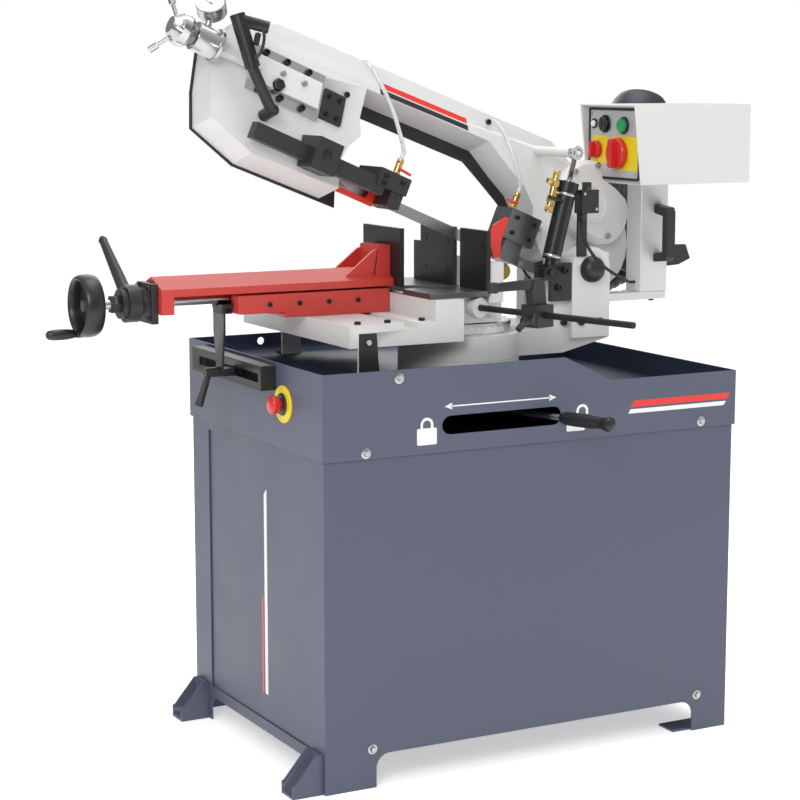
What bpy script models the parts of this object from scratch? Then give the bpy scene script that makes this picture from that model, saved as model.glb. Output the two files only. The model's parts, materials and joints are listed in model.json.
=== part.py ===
"""Swivel-arm band saw on a cabinet stand, as separate solids with their real joints.

The layout is drawn from the near left corner of the drip tray: +X runs along the long front face,
+Y goes to the back and +Z up. The empty `datum` then puts the whole saw on its own reference point,
the middle of the base of its bounding box. The bow is drawn lowered and level, in its own frame on
the hinge axis, and one empty raises it to its stop.
"""
import math

import bmesh
import bpy
from mathutils import Matrix, Vector

# ---------------------------------------------------------------- driving dimensions, in metres
DATUM = (-0.3272, -0.1682, 0.0)            # moves the tray corner away from the reference point
GAP = 0.0003                               # play between pieces that touch
SHEET = 0.003                              # sheet steel of the stand

TRAY_L, TRAY_W = 0.883, 0.5925             # drip tray, along X and Y
TRAY_LOW, TRAY_HIGH, TRAY_LIP = 0.601, 0.755, 0.706
DECK, SUMP = 0.717, 0.660                  # raised deck and sump floor inside the tray
DECK_END = 0.55
CAB_INSET = 0.004
MOTOR_A = 0.212                            # the motor's axis, along the bow from the drive wheel

SWIVEL = (0.3895, 0.2105)                  # swivel axis, in the fixed jaw's plane and the blade's plane
TURN_R = 0.115
ARM_Z0, ARM_Z1 = 0.742, 0.789
TABLE = 0.873                              # top of the work table
LOW_TABLE = 0.826                          # machined bed that the vise slides on

PIVOT = Vector((0.6345, 0.2105, 0.900))    # bow hinge axis, along Y
BOW_RAISED = math.radians(23.0)
WHEEL_TILT = math.radians(20.0)            # the wheels' plane leans back
BLADE_DROP = 0.033                         # blade line below the hinge axis
WHEEL_R = 0.100
WHEEL_A = -0.705                           # idler wheel, along the bow; the drive wheel is at 0
BLADE_T, BLADE_W = 0.0009, 0.020
LOOP_R = WHEEL_R + GAP + BLADE_T / 2       # middle of the blade on a wheel
CASTING = 0.033                            # half depth of the bow casting
WALL = 0.006

VISE_Y, VISE_HALF = 0.306, 0.051           # vise centre line and half width
SCREW_Z = 0.862
JAW_TOP, JAW_T = 0.983, 0.009

CYL_PIVOT = Vector((0.530, 0.118, 0.900))  # lower pin of the hydraulic cylinder
CYL_LEAN = math.radians(14.72)
CYL_EYE = 0.2282                           # pin to pin, bow raised
SPRING_PIN = Vector((0.700, 0.345, 0.800))
SPRING_RISE = math.radians(21.4)
SPRING_LEN = 0.2808

LEVER_ANGLE = math.radians(19.0)           # swivel lock lever, from the front towards +X
ROD_ANGLE = math.radians(14.6)             # stop rod, the same way

COLOURS = {                                # slot: (red, green, blue, roughness, metallic)
    "stand_blue": (0.088, 0.100, 0.155, 0.45, 0.0),
    "cast_grey": (0.66, 0.66, 0.65, 0.45, 0.0),
    "vise_red": (0.55, 0.045, 0.035, 0.45, 0.0),
    "guard_red": (0.75, 0.03, 0.02, 0.4, 0.0),
    "satin_black": (0.015, 0.015, 0.016, 0.5, 0.0),
    "dark_steel": (0.07, 0.07, 0.072, 0.4, 0.7),
    "bright_steel": (0.60, 0.60, 0.60, 0.25, 1.0),
    "blade_steel": (0.33, 0.33, 0.34, 0.35, 1.0),
    "chrome": (0.75, 0.75, 0.76, 0.1, 1.0),
    "brass": (0.65, 0.45, 0.18, 0.3, 1.0),
    "motor_navy": (0.010, 0.012, 0.022, 0.5, 0.0),
    "signal_red": (0.60, 0.015, 0.015, 0.35, 0.0),
    "signal_green": (0.02, 0.35, 0.09, 0.35, 0.0),
    "panel_silver": (0.55, 0.56, 0.57, 0.35, 0.6),
    "clear_hose": (0.75, 0.76, 0.76, 0.25, 0.0),
    "bristle": (0.35, 0.24, 0.03, 0.7, 0.0),
}


# ---------------------------------------------------------------- shapes, each a closed bmesh
def closed(bm):
    bmesh.ops.recalc_face_normals(bm, faces=bm.faces)
    return bm


def prism(outline, axis, low, high):
    """An outline extruded along an axis; its points are the other two coordinates, in X, Y, Z order."""
    bm = bmesh.new()
    slot = "XYZ".index(axis)

    def place(point, level):
        coords = list(point)
        coords.insert(slot, level)
        return bm.verts.new(coords)

    bottom = [place(p, low) for p in outline]
    top = [place(p, high) for p in outline]
    bm.faces.new(bottom)
    bm.faces.new(reversed(top))
    for i in range(len(outline)):
        j = (i + 1) % len(outline)
        bm.faces.new((bottom[j], bottom[i], top[i], top[j]))
    return closed(bm)


def block(low, high):
    return prism([(low[0], low[1]), (high[0], low[1]), (high[0], high[1]), (low[0], high[1])], "Z", low[2], high[2])


def turned(profile, centre, direction=(0, 0, 1), steps=24):
    """A closed profile of (radius, height) turned about a line; a radius of 0 closes on the line."""
    bm = bmesh.new()
    turn = Vector(direction).to_track_quat("Z", "Y").to_matrix()
    middle = Vector(centre)
    rings = []
    for radius, height in profile:
        count = steps if radius > 0 else 1
        ring = []
        for k in range(count):
            angle = 2 * math.pi * k / steps
            ring.append(bm.verts.new(middle + turn @ Vector((radius * math.cos(angle),
                                                             radius * math.sin(angle), height))))
        rings.append(ring)
    for i, ring in enumerate(rings):
        after = rings[(i + 1) % len(rings)]
        for k in range(steps):
            corners = (ring[k % len(ring)], ring[(k + 1) % len(ring)],
                       after[(k + 1) % len(after)], after[k % len(after)])
            corners = list(dict.fromkeys(corners))
            if len(corners) > 2:
                bm.faces.new(corners)
    return closed(bm)


def rod(start, end, radius, end_radius=None, steps=16):
    start, end = Vector(start), Vector(end)
    length = (end - start).length
    tip = radius if end_radius is None else end_radius
    return turned([(0, 0), (radius, 0), (tip, length), (0, length)], start, end - start, steps)


def ring(centre, direction, inner, outer, low, high, steps=24):
    return turned([(inner, low), (outer, low), (outer, high), (inner, high)], centre, direction, steps)


def arc(centre, radius, start, end, count):
    """Points round part of a circle; angles in degrees."""
    points = []
    for i in range(count + 1):
        angle = math.radians(start + (end - start) * i / count)
        points.append((centre[0] + radius * math.cos(angle), centre[1] + radius * math.sin(angle)))
    return points


def inset(outline, depth):
    """The outline moved inwards by a wall's thickness, whichever way round its points go."""
    area = sum(a[0] * b[1] - b[0] * a[1] for a, b in zip(outline, outline[1:] + outline[:1]))
    side = 1 if area > 0 else -1
    moved = []
    for before, here, after in zip(outline[-1:] + outline[:-1], outline, outline[1:] + outline[:1]):
        along = (Vector(here) - Vector(before)).normalized()
        onward = (Vector(after) - Vector(here)).normalized()
        inward_a = Vector((-along.y, along.x)) * side
        inward_b = Vector((-onward.y, onward.x)) * side
        middle = (inward_a + inward_b).normalized()
        point = Vector(here) + middle * depth / max(0.4, middle.dot(inward_a))
        moved.append((point.x, point.y))
    return moved


# ---------------------------------------------------------------- objects
class Hub:
    """An empty on a joint's axis; `origin` is its place in the coordinates that its pieces are drawn in."""

    def __init__(self, name, parent=None, at=(0, 0, 0), turn=(0, 0, 0)):
        self.empty = bpy.data.objects.new(name, None)
        self.empty.empty_display_size = 0.03
        bpy.context.collection.objects.link(self.empty)
        base = Vector((0, 0, 0))
        if parent:
            self.empty.parent = parent.empty
            base = parent.origin
        self.empty.location = Vector(at) - base
        self.empty.rotation_euler = turn
        self.origin = Vector((0, 0, 0)) if any(turn) or parent is None else Vector(at)


def material(slot):
    if slot in bpy.data.materials:
        return bpy.data.materials[slot]
    red, green, blue, roughness, metallic = COLOURS[slot]
    made = bpy.data.materials.new(slot)
    made.use_nodes = True
    shader = made.node_tree.nodes["Principled BSDF"]
    shader.inputs["Base Color"].default_value = (red, green, blue, 1)
    shader.inputs["Roughness"].default_value = roughness
    shader.inputs["Metallic"].default_value = metallic
    return made


def as_object(name, bm, hub, slot):
    for vert in bm.verts:
        vert.co -= hub.origin
    mesh = bpy.data.meshes.new(name)
    bm.to_mesh(mesh)
    bm.free()
    mesh.shade_smooth()
    mesh.set_sharp_from_angle(angle=math.radians(35))
    made = bpy.data.objects.new(name, mesh)
    made.parent = hub.empty
    made.data.materials.append(material(slot))
    made["origin"] = tuple(hub.origin)
    bpy.context.collection.objects.link(made)
    return made


def change(made, operation, shapes, label):
    """Unite shapes with a piece, or cut them away."""
    for i, shape in enumerate(shapes):
        tool = made.copy()
        tool.name = f"{made.name}_{label}_{i}"
        tool.data = bpy.data.meshes.new(tool.name)
        bmesh.ops.translate(shape, verts=shape.verts, vec=-Vector(made["origin"]))
        shape.to_mesh(tool.data)
        shape.free()
        tool.modifiers.clear()
        tool.hide_render = True
        tool.display_type = "WIRE"
        bpy.context.collection.objects.link(tool)
        modifier = made.modifiers.new(f"{label}_{i}", "BOOLEAN")
        modifier.operation = operation
        modifier.object = tool
        modifier.solver = "EXACT"


def piece(name, slot, hub, shapes, cuts=()):
    """One named piece: shapes united, then the cuts taken away."""
    made = as_object(name, shapes[0], hub, slot)
    change(made, "UNION", shapes[1:], "part")
    change(made, "DIFFERENCE", cuts, "cut")
    return made


def hose(name, slot, hub, route, radius):
    """A tube along a smooth curve through its route's points."""
    points = [Vector(p) - hub.origin for p in route]
    padded = [2 * points[0] - points[1]] + points + [2 * points[-1] - points[-2]]
    path = []
    for a, b, c, d in zip(padded, padded[1:], padded[2:], padded[3:]):
        pieces = max(2, round((c - b).length / (radius * 5)))
        for i in range(pieces):
            t = i / pieces
            path.append(0.5 * (2 * b + (c - a) * t + (2 * a - 5 * b + 4 * c - d) * t ** 2
                               + (3 * b - a - 3 * c + d) * t ** 3))
    path.append(points[-1])
    curve = bpy.data.curves.new(name, "CURVE")
    curve.dimensions = "3D"
    curve.bevel_depth = radius
    curve.bevel_resolution = 2
    curve.use_fill_caps = True
    curve.render_resolution_u = 0
    spline = curve.splines.new("POLY")
    spline.points.add(len(path) - 1)
    for knot, place in zip(spline.points, path):
        knot.co = (*place, 1)
    made = bpy.data.objects.new(name, curve)
    made.parent = hub.empty
    curve.materials.append(material(slot))
    bpy.context.collection.objects.link(made)
    return made


# ---------------------------------------------------------------- stand
def arch(low, high, top, radius):
    """The opening between two feet, with rounded upper corners."""
    return ([(low, -0.01), (high, -0.01), (high, top - radius)]
            + arc((high - radius, top - radius), radius, 10, 90, 4)
            + arc((low + radius, top - radius), radius, 90, 170, 4) + [(low, top - radius)])


def make_stand(base):
    x0, x1 = CAB_INSET, TRAY_L - CAB_INSET
    y0, y1 = CAB_INSET, TRAY_W - CAB_INSET
    top = TRAY_LOW - GAP
    feet, pockets = [], []
    for low, high in ((0.012, 0.060), (TRAY_W - 0.067, TRAY_W - 0.019)):
        side = [(-0.056, 0), (x0 + 0.002, 0), (x0 + 0.002, 0.075), (x0 - 0.013, 0.075), (-0.052, 0.024),
                (-0.056, 0.024)]
        feet.append(prism(side, "Y", low, high))
        pockets.append(block((-0.07, low + 0.005, 0.005), (x0 - 0.004, high - 0.005, 0.09)))
        feet.append(block((0.761, low, 0), (x1 - 0.001, high, 0.005)))
    cabinet = piece("cabinet", "stand_blue", base, [block((x0, y0, 0), (x1, y1, top))], [
        block((x0 + SHEET, y0 + SHEET, -0.01), (x1 - SHEET, y1 - SHEET, top - SHEET)),
        prism(arch(0.107, 0.799, 0.061, 0.025), "Y", -0.1, 0.7),
        prism(arch(0.064, 0.513, 0.048, 0.020), "X", -0.1, 1.0),
        block((-0.1, 0.066, 0.07), (x0 + SHEET + 0.001, 0.511, top - 0.016))])
    change(cabinet, "UNION", feet, "foot")
    change(cabinet, "DIFFERENCE", pockets, "pocket")
    piece("side_panel", "stand_blue", base,
          [block((x0 + SHEET + GAP, 0.056, 0.050), (x0 + SHEET + 0.0028, 0.521, top - SHEET - GAP))])
    make_tray(base)
    piece("rail", "satin_black", base, [block((-0.030, 0.188, 0.705), (-GAP, 0.505, 0.750))],
          [block((-0.04, 0.20, 0.7195), (-0.014, 0.47, 0.7355))])
    centre = (0, 0.155, 0.684)
    head = Hub("estop_axis", base, centre)
    piece("estop_button", "signal_red", head,
          [turned([(0, 0.0045), (0.009, 0.0045), (0.009, 0.014), (0.0165, 0.016), (0.0165, 0.024), (0.011, 0.029),
                   (0, 0.030)], centre, (-1, 0, 0))])


def make_tray(base):
    outline = [(0, TRAY_LOW), (TRAY_L, TRAY_LOW), (TRAY_L, TRAY_LIP), (0.597, TRAY_LIP),
               (0.4956, TRAY_HIGH), (0, TRAY_HIGH)]
    inner_x, inner_y = TRAY_L - SHEET, TRAY_W - SHEET
    slot = (arc((0.237 + 0.017, 0.649), 0.017, 90, 270, 6) + arc((0.488 - 0.017, 0.649), 0.017, -90, 90, 6))
    piece("drip_tray", "stand_blue", base, [prism(outline, "Y", 0, TRAY_W)], [
        block((SHEET, SHEET, DECK), (DECK_END, inner_y, 0.8)),
        block((DECK_END - 0.001, SHEET, SUMP), (inner_x, inner_y, 0.8)),
        block((SHEET, SHEET, 0.59), (DECK_END - SHEET, inner_y, DECK - SHEET)),
        block((DECK_END - SHEET - 0.001, SHEET, 0.59), (inner_x, inner_y, SUMP - SHEET)),
        prism(slot, "Y", -0.02, 0.02),
        rod((0.153, TRAY_W - 0.02, 0.740), (0.153, TRAY_W + 0.02, 0.740), 0.0075),
        rod((SWIVEL[0], SWIVEL[1], 0.70), (SWIVEL[0], SWIVEL[1], 0.73), 0.0125)])


# ---------------------------------------------------------------- fixed table
def blade_fan():
    """The groove that the teeth drop into, swung from straight to 30 degrees."""
    x, y = SWIVEL
    reach, half = 0.135, 0.004
    spread = reach * math.tan(math.radians(30))
    return [(x - reach, y - half), (x, y - half), (x + reach, y - half - spread),
            (x + reach, y + half), (x, y + half), (x - reach, y + half + spread)]


def make_table(base):
    x, y = SWIVEL
    rod_dir = Vector((math.sin(ROD_ANGLE), -math.cos(ROD_ANGLE), 0))
    rod_foot = Vector((0.372, 0.118, 0.842))
    piece("turntable_base", "cast_grey", base, [
        turned([(0, 0.632), (0.012, 0.632), (0.012, DECK + GAP), (TURN_R, DECK + GAP), (TURN_R, ARM_Z0 - GAP),
                (0.035, ARM_Z0 - GAP), (0.035, 0.8121), (0, 0.8121)], (x, y, 0), (0, 0, 1), 32)])
    top = TABLE - 0.0105
    feet = []
    for cx, face, out in ((0.1275, 0.08, -1), (0.195, 0.54, 1)):
        plate = sorted((face - out * 0.001, face + out * 0.005))
        side = [(cx - 0.0175, 0.812), (cx + 0.0175, 0.812), (cx + 0.024, DECK + GAP), (cx - 0.018, DECK + GAP)]
        feet.append(prism(side, "Y", *plate))
        sole = sorted((face, face + out * 0.025))
        feet.append(block((cx - 0.018, sole[0], DECK + GAP), (cx + 0.024, sole[1], DECK + 0.005)))
    piece("base_casting", "cast_grey", base, [
        block((0.094, 0.08, 0.786), (0.27, 0.54, LOW_TABLE)),
        block((0.268, 0.08, 0.786), (0.327, 0.50, top)),
        block((0.320, 0.12, 0.8124), (0.430, 0.40, top)),
        block((0.3945, 0.105, 0.85), (0.425, 0.150, 0.924)),
        block((0.3945, 0.262, 0.85), (0.425, 0.375, 0.924)),
        rod(rod_foot + rod_dir * -0.02, rod_foot + rod_dir * 0.014, 0.019, steps=20),
    ] + feet, [block((0.204, 0.0, 0.815), (0.229, 0.6, 0.83)),
        turned([(0, 0.70), (TURN_R + 0.003, 0.70), (TURN_R + 0.003, 0.8124), (0, 0.8124)], (x, y, 0), steps=32),
        rod(rod_foot + rod_dir * -0.015, rod_foot + rod_dir * 0.03, 0.0063)])
    piece("table_plate", "dark_steel", base, [block((0.2683, 0.10, top + GAP), (0.3942, 0.40, TABLE))],
          [prism(blade_fan(), "Z", TABLE - 0.009, 0.9)])
    low, high = SWIVEL[0] - JAW_T / 2, SWIVEL[0] + JAW_T / 2
    bottom = TABLE + GAP
    rear = [(0.223, bottom), (0.378, bottom), (0.378, 0.948), (0.351, 0.948), (0.351, JAW_TOP), (0.223, JAW_TOP)]
    as_object("front_jaw", block((low, 0.099, bottom), (high - 0.0003, 0.198, JAW_TOP)), base, "satin_black")
    as_object("rear_jaw", prism(rear, "X", low, high - 0.0003), base, "satin_black")
    length = 0.385
    piece("stop_rod", "dark_steel", base,
          [rod(rod_foot + rod_dir * -0.012, rod_foot + rod_dir * length, 0.006)])
    make_stop(base, rod_foot, rod_dir)


def make_stop(base, foot, along):
    """The length stop that clamps on its rod, with an arm back over the cut."""
    at = foot + along * 0.157
    hub = Hub("stop_axis", base, at)
    turn = Matrix.Translation(at) @ Matrix.Rotation(math.atan2(along.x, -along.y), 4, "Z") @ Matrix.Translation(-at)

    def turn_shape(shape):
        shape.transform(turn)
        return shape

    x, y, z = at
    shapes = [block((x - 0.020, y - 0.020, z - 0.022), (x + 0.022, y + 0.020, z + 0.018)),
              prism([(x - 0.016, z + 0.01), (x + 0.016, z + 0.01), (x + 0.010, z + 0.062), (x - 0.018, z + 0.062),
                     (x - 0.022, z + 0.045)], "Y", y - 0.009, y + 0.009),
              prism([(x + 0.008, z + 0.046), (x + 0.008, z + 0.064), (x - 0.112, z + 0.062), (x - 0.112, z + 0.048)],
                    "Y", y - 0.007, y + 0.007),
              rod((x - 0.112, y, z + 0.046), (x - 0.112, y, z + 0.064), 0.009)]
    out = turn.to_3x3() @ Vector((-1, 0, 0))
    screw = turn.to_3x3() @ Vector((-0.018, 0, -0.010)) + at
    piece("stop_casting", "satin_black", hub, [turn_shape(s) for s in shapes]
          + [rod(screw, screw + out * 0.018, 0.008), rod(screw + out * 0.012, screw + out * 0.030 + Vector((0, 0, -0.014)), 0.006)],
          [rod(at - along * 0.03, at + along * 0.03, 0.0064)])


def make_lock_lever(base):
    """The lever that clamps the swivel, under the deck and out through the slot in the skirt."""
    hub = Hub("lock_axis", base, (*SWIVEL, 0.649))
    x, y = SWIVEL
    out = Vector((math.sin(LEVER_ANGLE), -math.cos(LEVER_ANGLE), 0))
    centre = Vector((x, y, 0.649))
    piece("swivel_lock_lever", "satin_black", hub, [
        ring((x, y, 0), (0, 0, 1), 0.0124, 0.030, 0.641, 0.658),
        rod(centre + out * 0.022, centre + out * 0.262, 0.006),
        turned([(0, 0.250), (0.009, 0.250), (0.0125, 0.262), (0.0125, 0.325), (0.0105, 0.345), (0.0135, 0.356),
                (0.006, 0.366), (0, 0.366)], centre, out)])


# ---------------------------------------------------------------- vise
def make_vise(base):
    y, half = VISE_Y, VISE_HALF
    bed = Hub("vise_cross_axis", base, (0.1135, y, LOW_TABLE))
    key = [block((0.2045, y - 0.030, 0.8155), (0.2285, y + 0.030, 0.830))]
    piece("vise_bed", "vise_red", bed,
          [block((-0.040, y - half, LOW_TABLE + GAP), (0.267, y + half, 0.8705))] + key,
          [block((-0.05, y - 0.012, 0.849), (0.28, y + 0.012, 0.88)),
           block((-0.05, y - half - 0.01, 0.80), (0.05, y + half + 0.01, 0.836))])
    support = [(-0.062, 0.8355), (-0.0403, 0.8355), (-0.0403, 0.8455), (-0.062, 0.8455)]
    piece("vise_support", "satin_black", bed,
          [block((-0.062, y - 0.024, 0.845), (-0.0403, y + 0.024, 0.853)),
           prism([(y - 0.024, 0.80), (y + 0.024, 0.80), (y + 0.024, 0.850), (y - 0.024, 0.850)], "X", -0.060, -0.056),
           prism([(y - 0.024, 0.802), (y + 0.024, 0.802), (y + 0.014, 0.745), (y - 0.014, 0.745)],
                 "X", -0.060, -0.056),
           block((-0.060, y - 0.014, 0.7205), (-0.0355, y + 0.014, 0.7345)),
           block((-0.060, y - 0.014, 0.7205), (-0.056, y + 0.014, 0.75)),
           block((-0.0365, y - 0.013, 0.7205), (-0.016, y + 0.013, 0.7345))] + [prism(support, "Y", y - 0.02, y + 0.02)],
          [rod((-0.075, y, SCREW_Z), (-0.03, y, SCREW_Z), 0.0125)])
    clamp = Vector((-0.0603, y, 0.7275))
    lever = Hub("rail_clamp_axis", bed, clamp)
    piece("rail_clamp_lever", "satin_black", lever,
          [rod(clamp - Vector((GAP, 0, 0)), clamp - Vector((0.028, 0, 0)), 0.009),
           rod(clamp - Vector((0.020, 0, 0)), clamp + Vector((-0.032, 0.020, -0.062)), 0.006, 0.008)])
    make_vise_slide(bed, y, half)


def make_vise_slide(bed, y, half):
    slide = Hub("vise_slide_axis", bed, (-0.19, y, SCREW_Z))
    low = 0.8745
    roof = [(y - half, low), (y + half, low), (y + half, 0.888), (y, 0.908), (y - half, 0.888)]
    hollow = [(y - half + 0.005, low - 0.01), (y + half - 0.005, low - 0.01), (y + half - 0.005, 0.884),
              (y, 0.902), (y - half + 0.005, 0.884)]
    head = [(0.236, 0.880), (0.2757, 0.880), (0.2757, 0.950), (0.250, 0.950)]
    piece("vise_slide", "vise_red", slide, [
        prism(roof, "X", -0.190, 0.2755),
        block((-0.190, y - half, 0.843), (-0.166, y + half, 0.880)),
        prism(head, "Y", y - 0.036, y + 0.036),
    ], [prism(hollow, "X", -0.166, 0.262), rod((-0.2, y, SCREW_Z), (-0.15, y, SCREW_Z), 0.0095)])
    piece("movable_jaw", "satin_black", slide,
          [block((0.276, y - 0.075, TABLE + 0.001), (0.276 + JAW_T, y + 0.075, JAW_TOP))])
    piece("vise_drive_housing", "satin_black", slide, [
        block((-0.2035, y - 0.036, SCREW_Z - 0.036), (-0.1903, y + 0.036, SCREW_Z + 0.036)),
        rod((-0.252, y, SCREW_Z), (-0.203, y, SCREW_Z), 0.027, steps=24),
        rod((-0.268, y, SCREW_Z), (-0.251, y, SCREW_Z), 0.017, steps=6),
    ], [rod((-0.28, y, SCREW_Z), (-0.18, y, SCREW_Z), 0.0095)])
    centre = Vector((-0.23, y, SCREW_Z))
    quick = Hub("quick_clamp_axis", slide, centre)
    out = Vector((0, math.sin(math.radians(52)), math.cos(math.radians(52))))
    piece("quick_clamp_lever", "satin_black", quick, [
        ring(centre, (1, 0, 0), 0.0275, 0.034, -0.012, 0.012, 28),
        rod(centre + out * 0.030, centre + out * 0.165, 0.012, 0.0075),
        turned([(0, 0.160), (0.0075, 0.160), (0.0085, 0.168), (0.005, 0.175), (0, 0.175)], centre, out)])
    wheel_at = Vector((-0.312, y, SCREW_Z))
    wheel = Hub("handwheel_axis", slide, wheel_at)
    end = 0.150 - wheel_at.x
    piece("handwheel", "satin_black", wheel, [
        turned([(0, -0.006), (0.013, -0.006), (0.013, 0.002), (0.040, 0.002), (0.041, -0.010), (0.043, -0.018),
                (0.054, -0.018), (0.056, -0.012), (0.056, 0.012), (0.054, 0.018), (0.043, 0.018), (0.041, 0.008),
                (0.013, 0.008), (0.013, 0.028), (0.009, 0.028), (0.009, end), (0, end)], wheel_at, (1, 0, 0), 28)],
        [rod(wheel_at + Vector((-0.03, 0, -0.0485)), wheel_at + Vector((0.001, 0, -0.0485)), 0.0042)])
    pin = wheel_at + Vector((-0.0005, 0, -0.0485))
    crank = Hub("crank_axis", wheel, pin)
    piece("crank_handle", "satin_black", crank, [
        turned([(0, 0), (0.0039, 0), (0.0039, 0.0185), (0.0065, 0.0185), (0.009, 0.03), (0.009, 0.070),
                (0.006, 0.075), (0, 0.075)], pin, (-1, 0, 0), 16)])


# ---------------------------------------------------------------- swivel arm and what stands on it
def make_arm(base):
    hub = Hub("swivel_axis", base, (*SWIVEL, ARM_Z0))
    x, y = SWIVEL
    px, pz = PIVOT.x, PIVOT.z
    side = [(0.43, ARM_Z0), (0.58, ARM_Z0), (0.683, 0.766), (0.683, ARM_Z1), (0.43, ARM_Z1)]
    cheek_r = 0.0425
    piece("swivel_arm", "cast_grey", hub, [
        turned([(0.0354, ARM_Z0), (TURN_R, ARM_Z0), (TURN_R, ARM_Z1), (0.0354, ARM_Z1)], (x, y, 0), (0, 0, 1), 32),
        prism(side, "Y", 0.142, 0.333),
        block((0.550, 0.1425, 0.780), (0.6825, 0.168, 0.930)),
        prism([(px - cheek_r, 0.770), (px + cheek_r, 0.770)] + arc((px, pz), cheek_r, 0, 180, 14), "Y", 0.130, 0.1685),
        prism([(px - cheek_r, 0.782), (px + cheek_r, 0.782)] + arc((px, pz), cheek_r, 0, 180, 14), "Y", 0.3035, 0.3325),
        block((0.670, 0.130, 0.836), (0.745, 0.172, 0.850)),
        block((0.740, 0.130, 0.836), (0.807, 0.182, 0.850)),
        block((0.670, 0.306, 0.772), (0.718, 0.3322, 0.815)),
        rod((SPRING_PIN.x, 0.325, SPRING_PIN.z), (SPRING_PIN.x, 0.362, SPRING_PIN.z), 0.008),
        ring((x, y, 0), (0, 0, 1), 0.0354, 0.098, ARM_Z1 - 0.002, 0.8105, 32),
        turned([(0, 0.106), (0.008, 0.107), (0.018, 0.112), (0.024, 0.120), (0.025, 0.132), (0.0123, 0.132),
                (0.0123, 0.186), (0, 0.186)], (px, 0, pz), (0, 1, 0)),
        rod((px, 0.2910, pz), (px, 0.32, pz), 0.0123, steps=24),
        rod((px, 0.32, pz), (px, 0.339, pz), 0.020, steps=24)])
    piece("cylinder_bracket", "satin_black", hub, [
        block((0.545, 0.1300, 0.842), (0.5905, 0.1417, 0.914)),
        block((0.513, 0.1300, 0.882), (0.555, 0.1417, 0.914)),
        rod((CYL_PIVOT.x, 0.1305, CYL_PIVOT.z), (CYL_PIVOT.x, 0.101, CYL_PIVOT.z), 0.006)])
    make_control(hub)
    make_switch(hub)
    return hub


def make_control(hub):
    box_low, box_high = Vector((0.727, 0.130, 1.0555)), Vector((1.003, 0.320, 1.208))
    slant = [(0.70, 1.02), (0.7445, 1.02), (0.7445, 1.055), (0.727, 1.215), (0.70, 1.215)]
    piece("control_box", "cast_grey", hub, [
        block(box_low, box_high), block((0.748, 0.1313, 0.8503), (0.810, 0.180, 1.058))],
          [block((0.70, 0.133, 1.0585), (0.7745, 0.317, 1.205)), prism(slant, "Y", 0.1, 0.35),
           block((0.751, 0.1343, 0.84), (0.807, 0.177, 1.052))])
    piece("control_panel", "panel_silver", hub, [block((0.7462, 0.1335, 1.059), (0.7495, 0.3165, 1.2045))],
          [rod((0.73, cy, cz), (0.76, cy, cz), 0.0072) for cy, cz in
           ((0.2547, 1.170), (0.191, 1.168), (0.281, 1.120), (0.206, 1.114))])
    knobs = {"selector_switch": ("satin_black", 0.2547, 1.170, 0.014, 0.012),
             "start_button": ("signal_green", 0.191, 1.168, 0.0135, 0.009),
             "speed_switch": ("signal_red", 0.281, 1.120, 0.017, 0.020),
             "main_switch": ("signal_red", 0.206, 1.114, 0.030, 0.024)}
    for name, (slot, cy, cz, radius, proud) in knobs.items():
        at = Vector((0.7455, cy, cz))
        knob = Hub(f"{name}_axis", hub, at)
        rise = 0.0042 if name == "start_button" else 0.001        # room for the start button's travel
        shapes = [turned([(0, -0.012), (0.0068, -0.012), (0.0068, rise), (radius, rise),
                          (radius, rise + proud * 0.55), (radius * 0.92, rise + proud * 0.65),
                          (0, rise + proud * 0.65)], at, (-1, 0, 0), 24)]
        if name != "start_button":
            shapes.append(block((at.x - proud, cy - radius * 0.25, cz - radius * 0.9),
                                (at.x - proud * 0.5, cy + radius * 0.25, cz + radius * 0.9)))
        piece(name, slot, knob, shapes)
    grip_y = 0.131
    piece("post_handle", "satin_black", hub, [
        block((0.777, grip_y - 0.044, 0.918), (0.797, grip_y - 0.028, 1.008)),
        prism([(grip_y, 1.018), (grip_y, 1.002), (grip_y - 0.034, 0.996), (grip_y - 0.044, 1.000),
               (grip_y - 0.040, 1.014)], "X", 0.777, 0.797),
        prism([(grip_y, 0.908), (grip_y, 0.924), (grip_y - 0.034, 0.930), (grip_y - 0.044, 0.926),
               (grip_y - 0.040, 0.912)], "X", 0.777, 0.797)])


def make_switch(hub):
    """The limit switch on its strap, its gland, and the cable to the post."""
    piece("limit_switch", "satin_black", hub, [
        block((0.5925, 0.1000, 1.008), (0.6300, 0.1280, 1.052)),
        block((0.605, 0.106, 1.050), (0.617, 0.122, 1.066)),
        rod((0.602, 0.114, 1.009), (0.602, 0.114, 0.992), 0.0075),
        block((0.599, 0.1255, 0.925), (0.621, 0.1297, 1.045))])
    hose("switch_cable", "satin_black", hub,
         [(0.602, 0.114, 0.9915), (0.602, 0.112, 0.970), (0.608, 0.102, 0.945), (0.622, 0.092, 0.920),
          (0.648, 0.090, 0.900), (0.682, 0.100, 0.884), (0.712, 0.122, 0.875), (0.732, 0.146, 0.8695),
          (0.741, 0.148, 0.869), (0.7476, 0.148, 0.869)], 0.0032)


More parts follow.
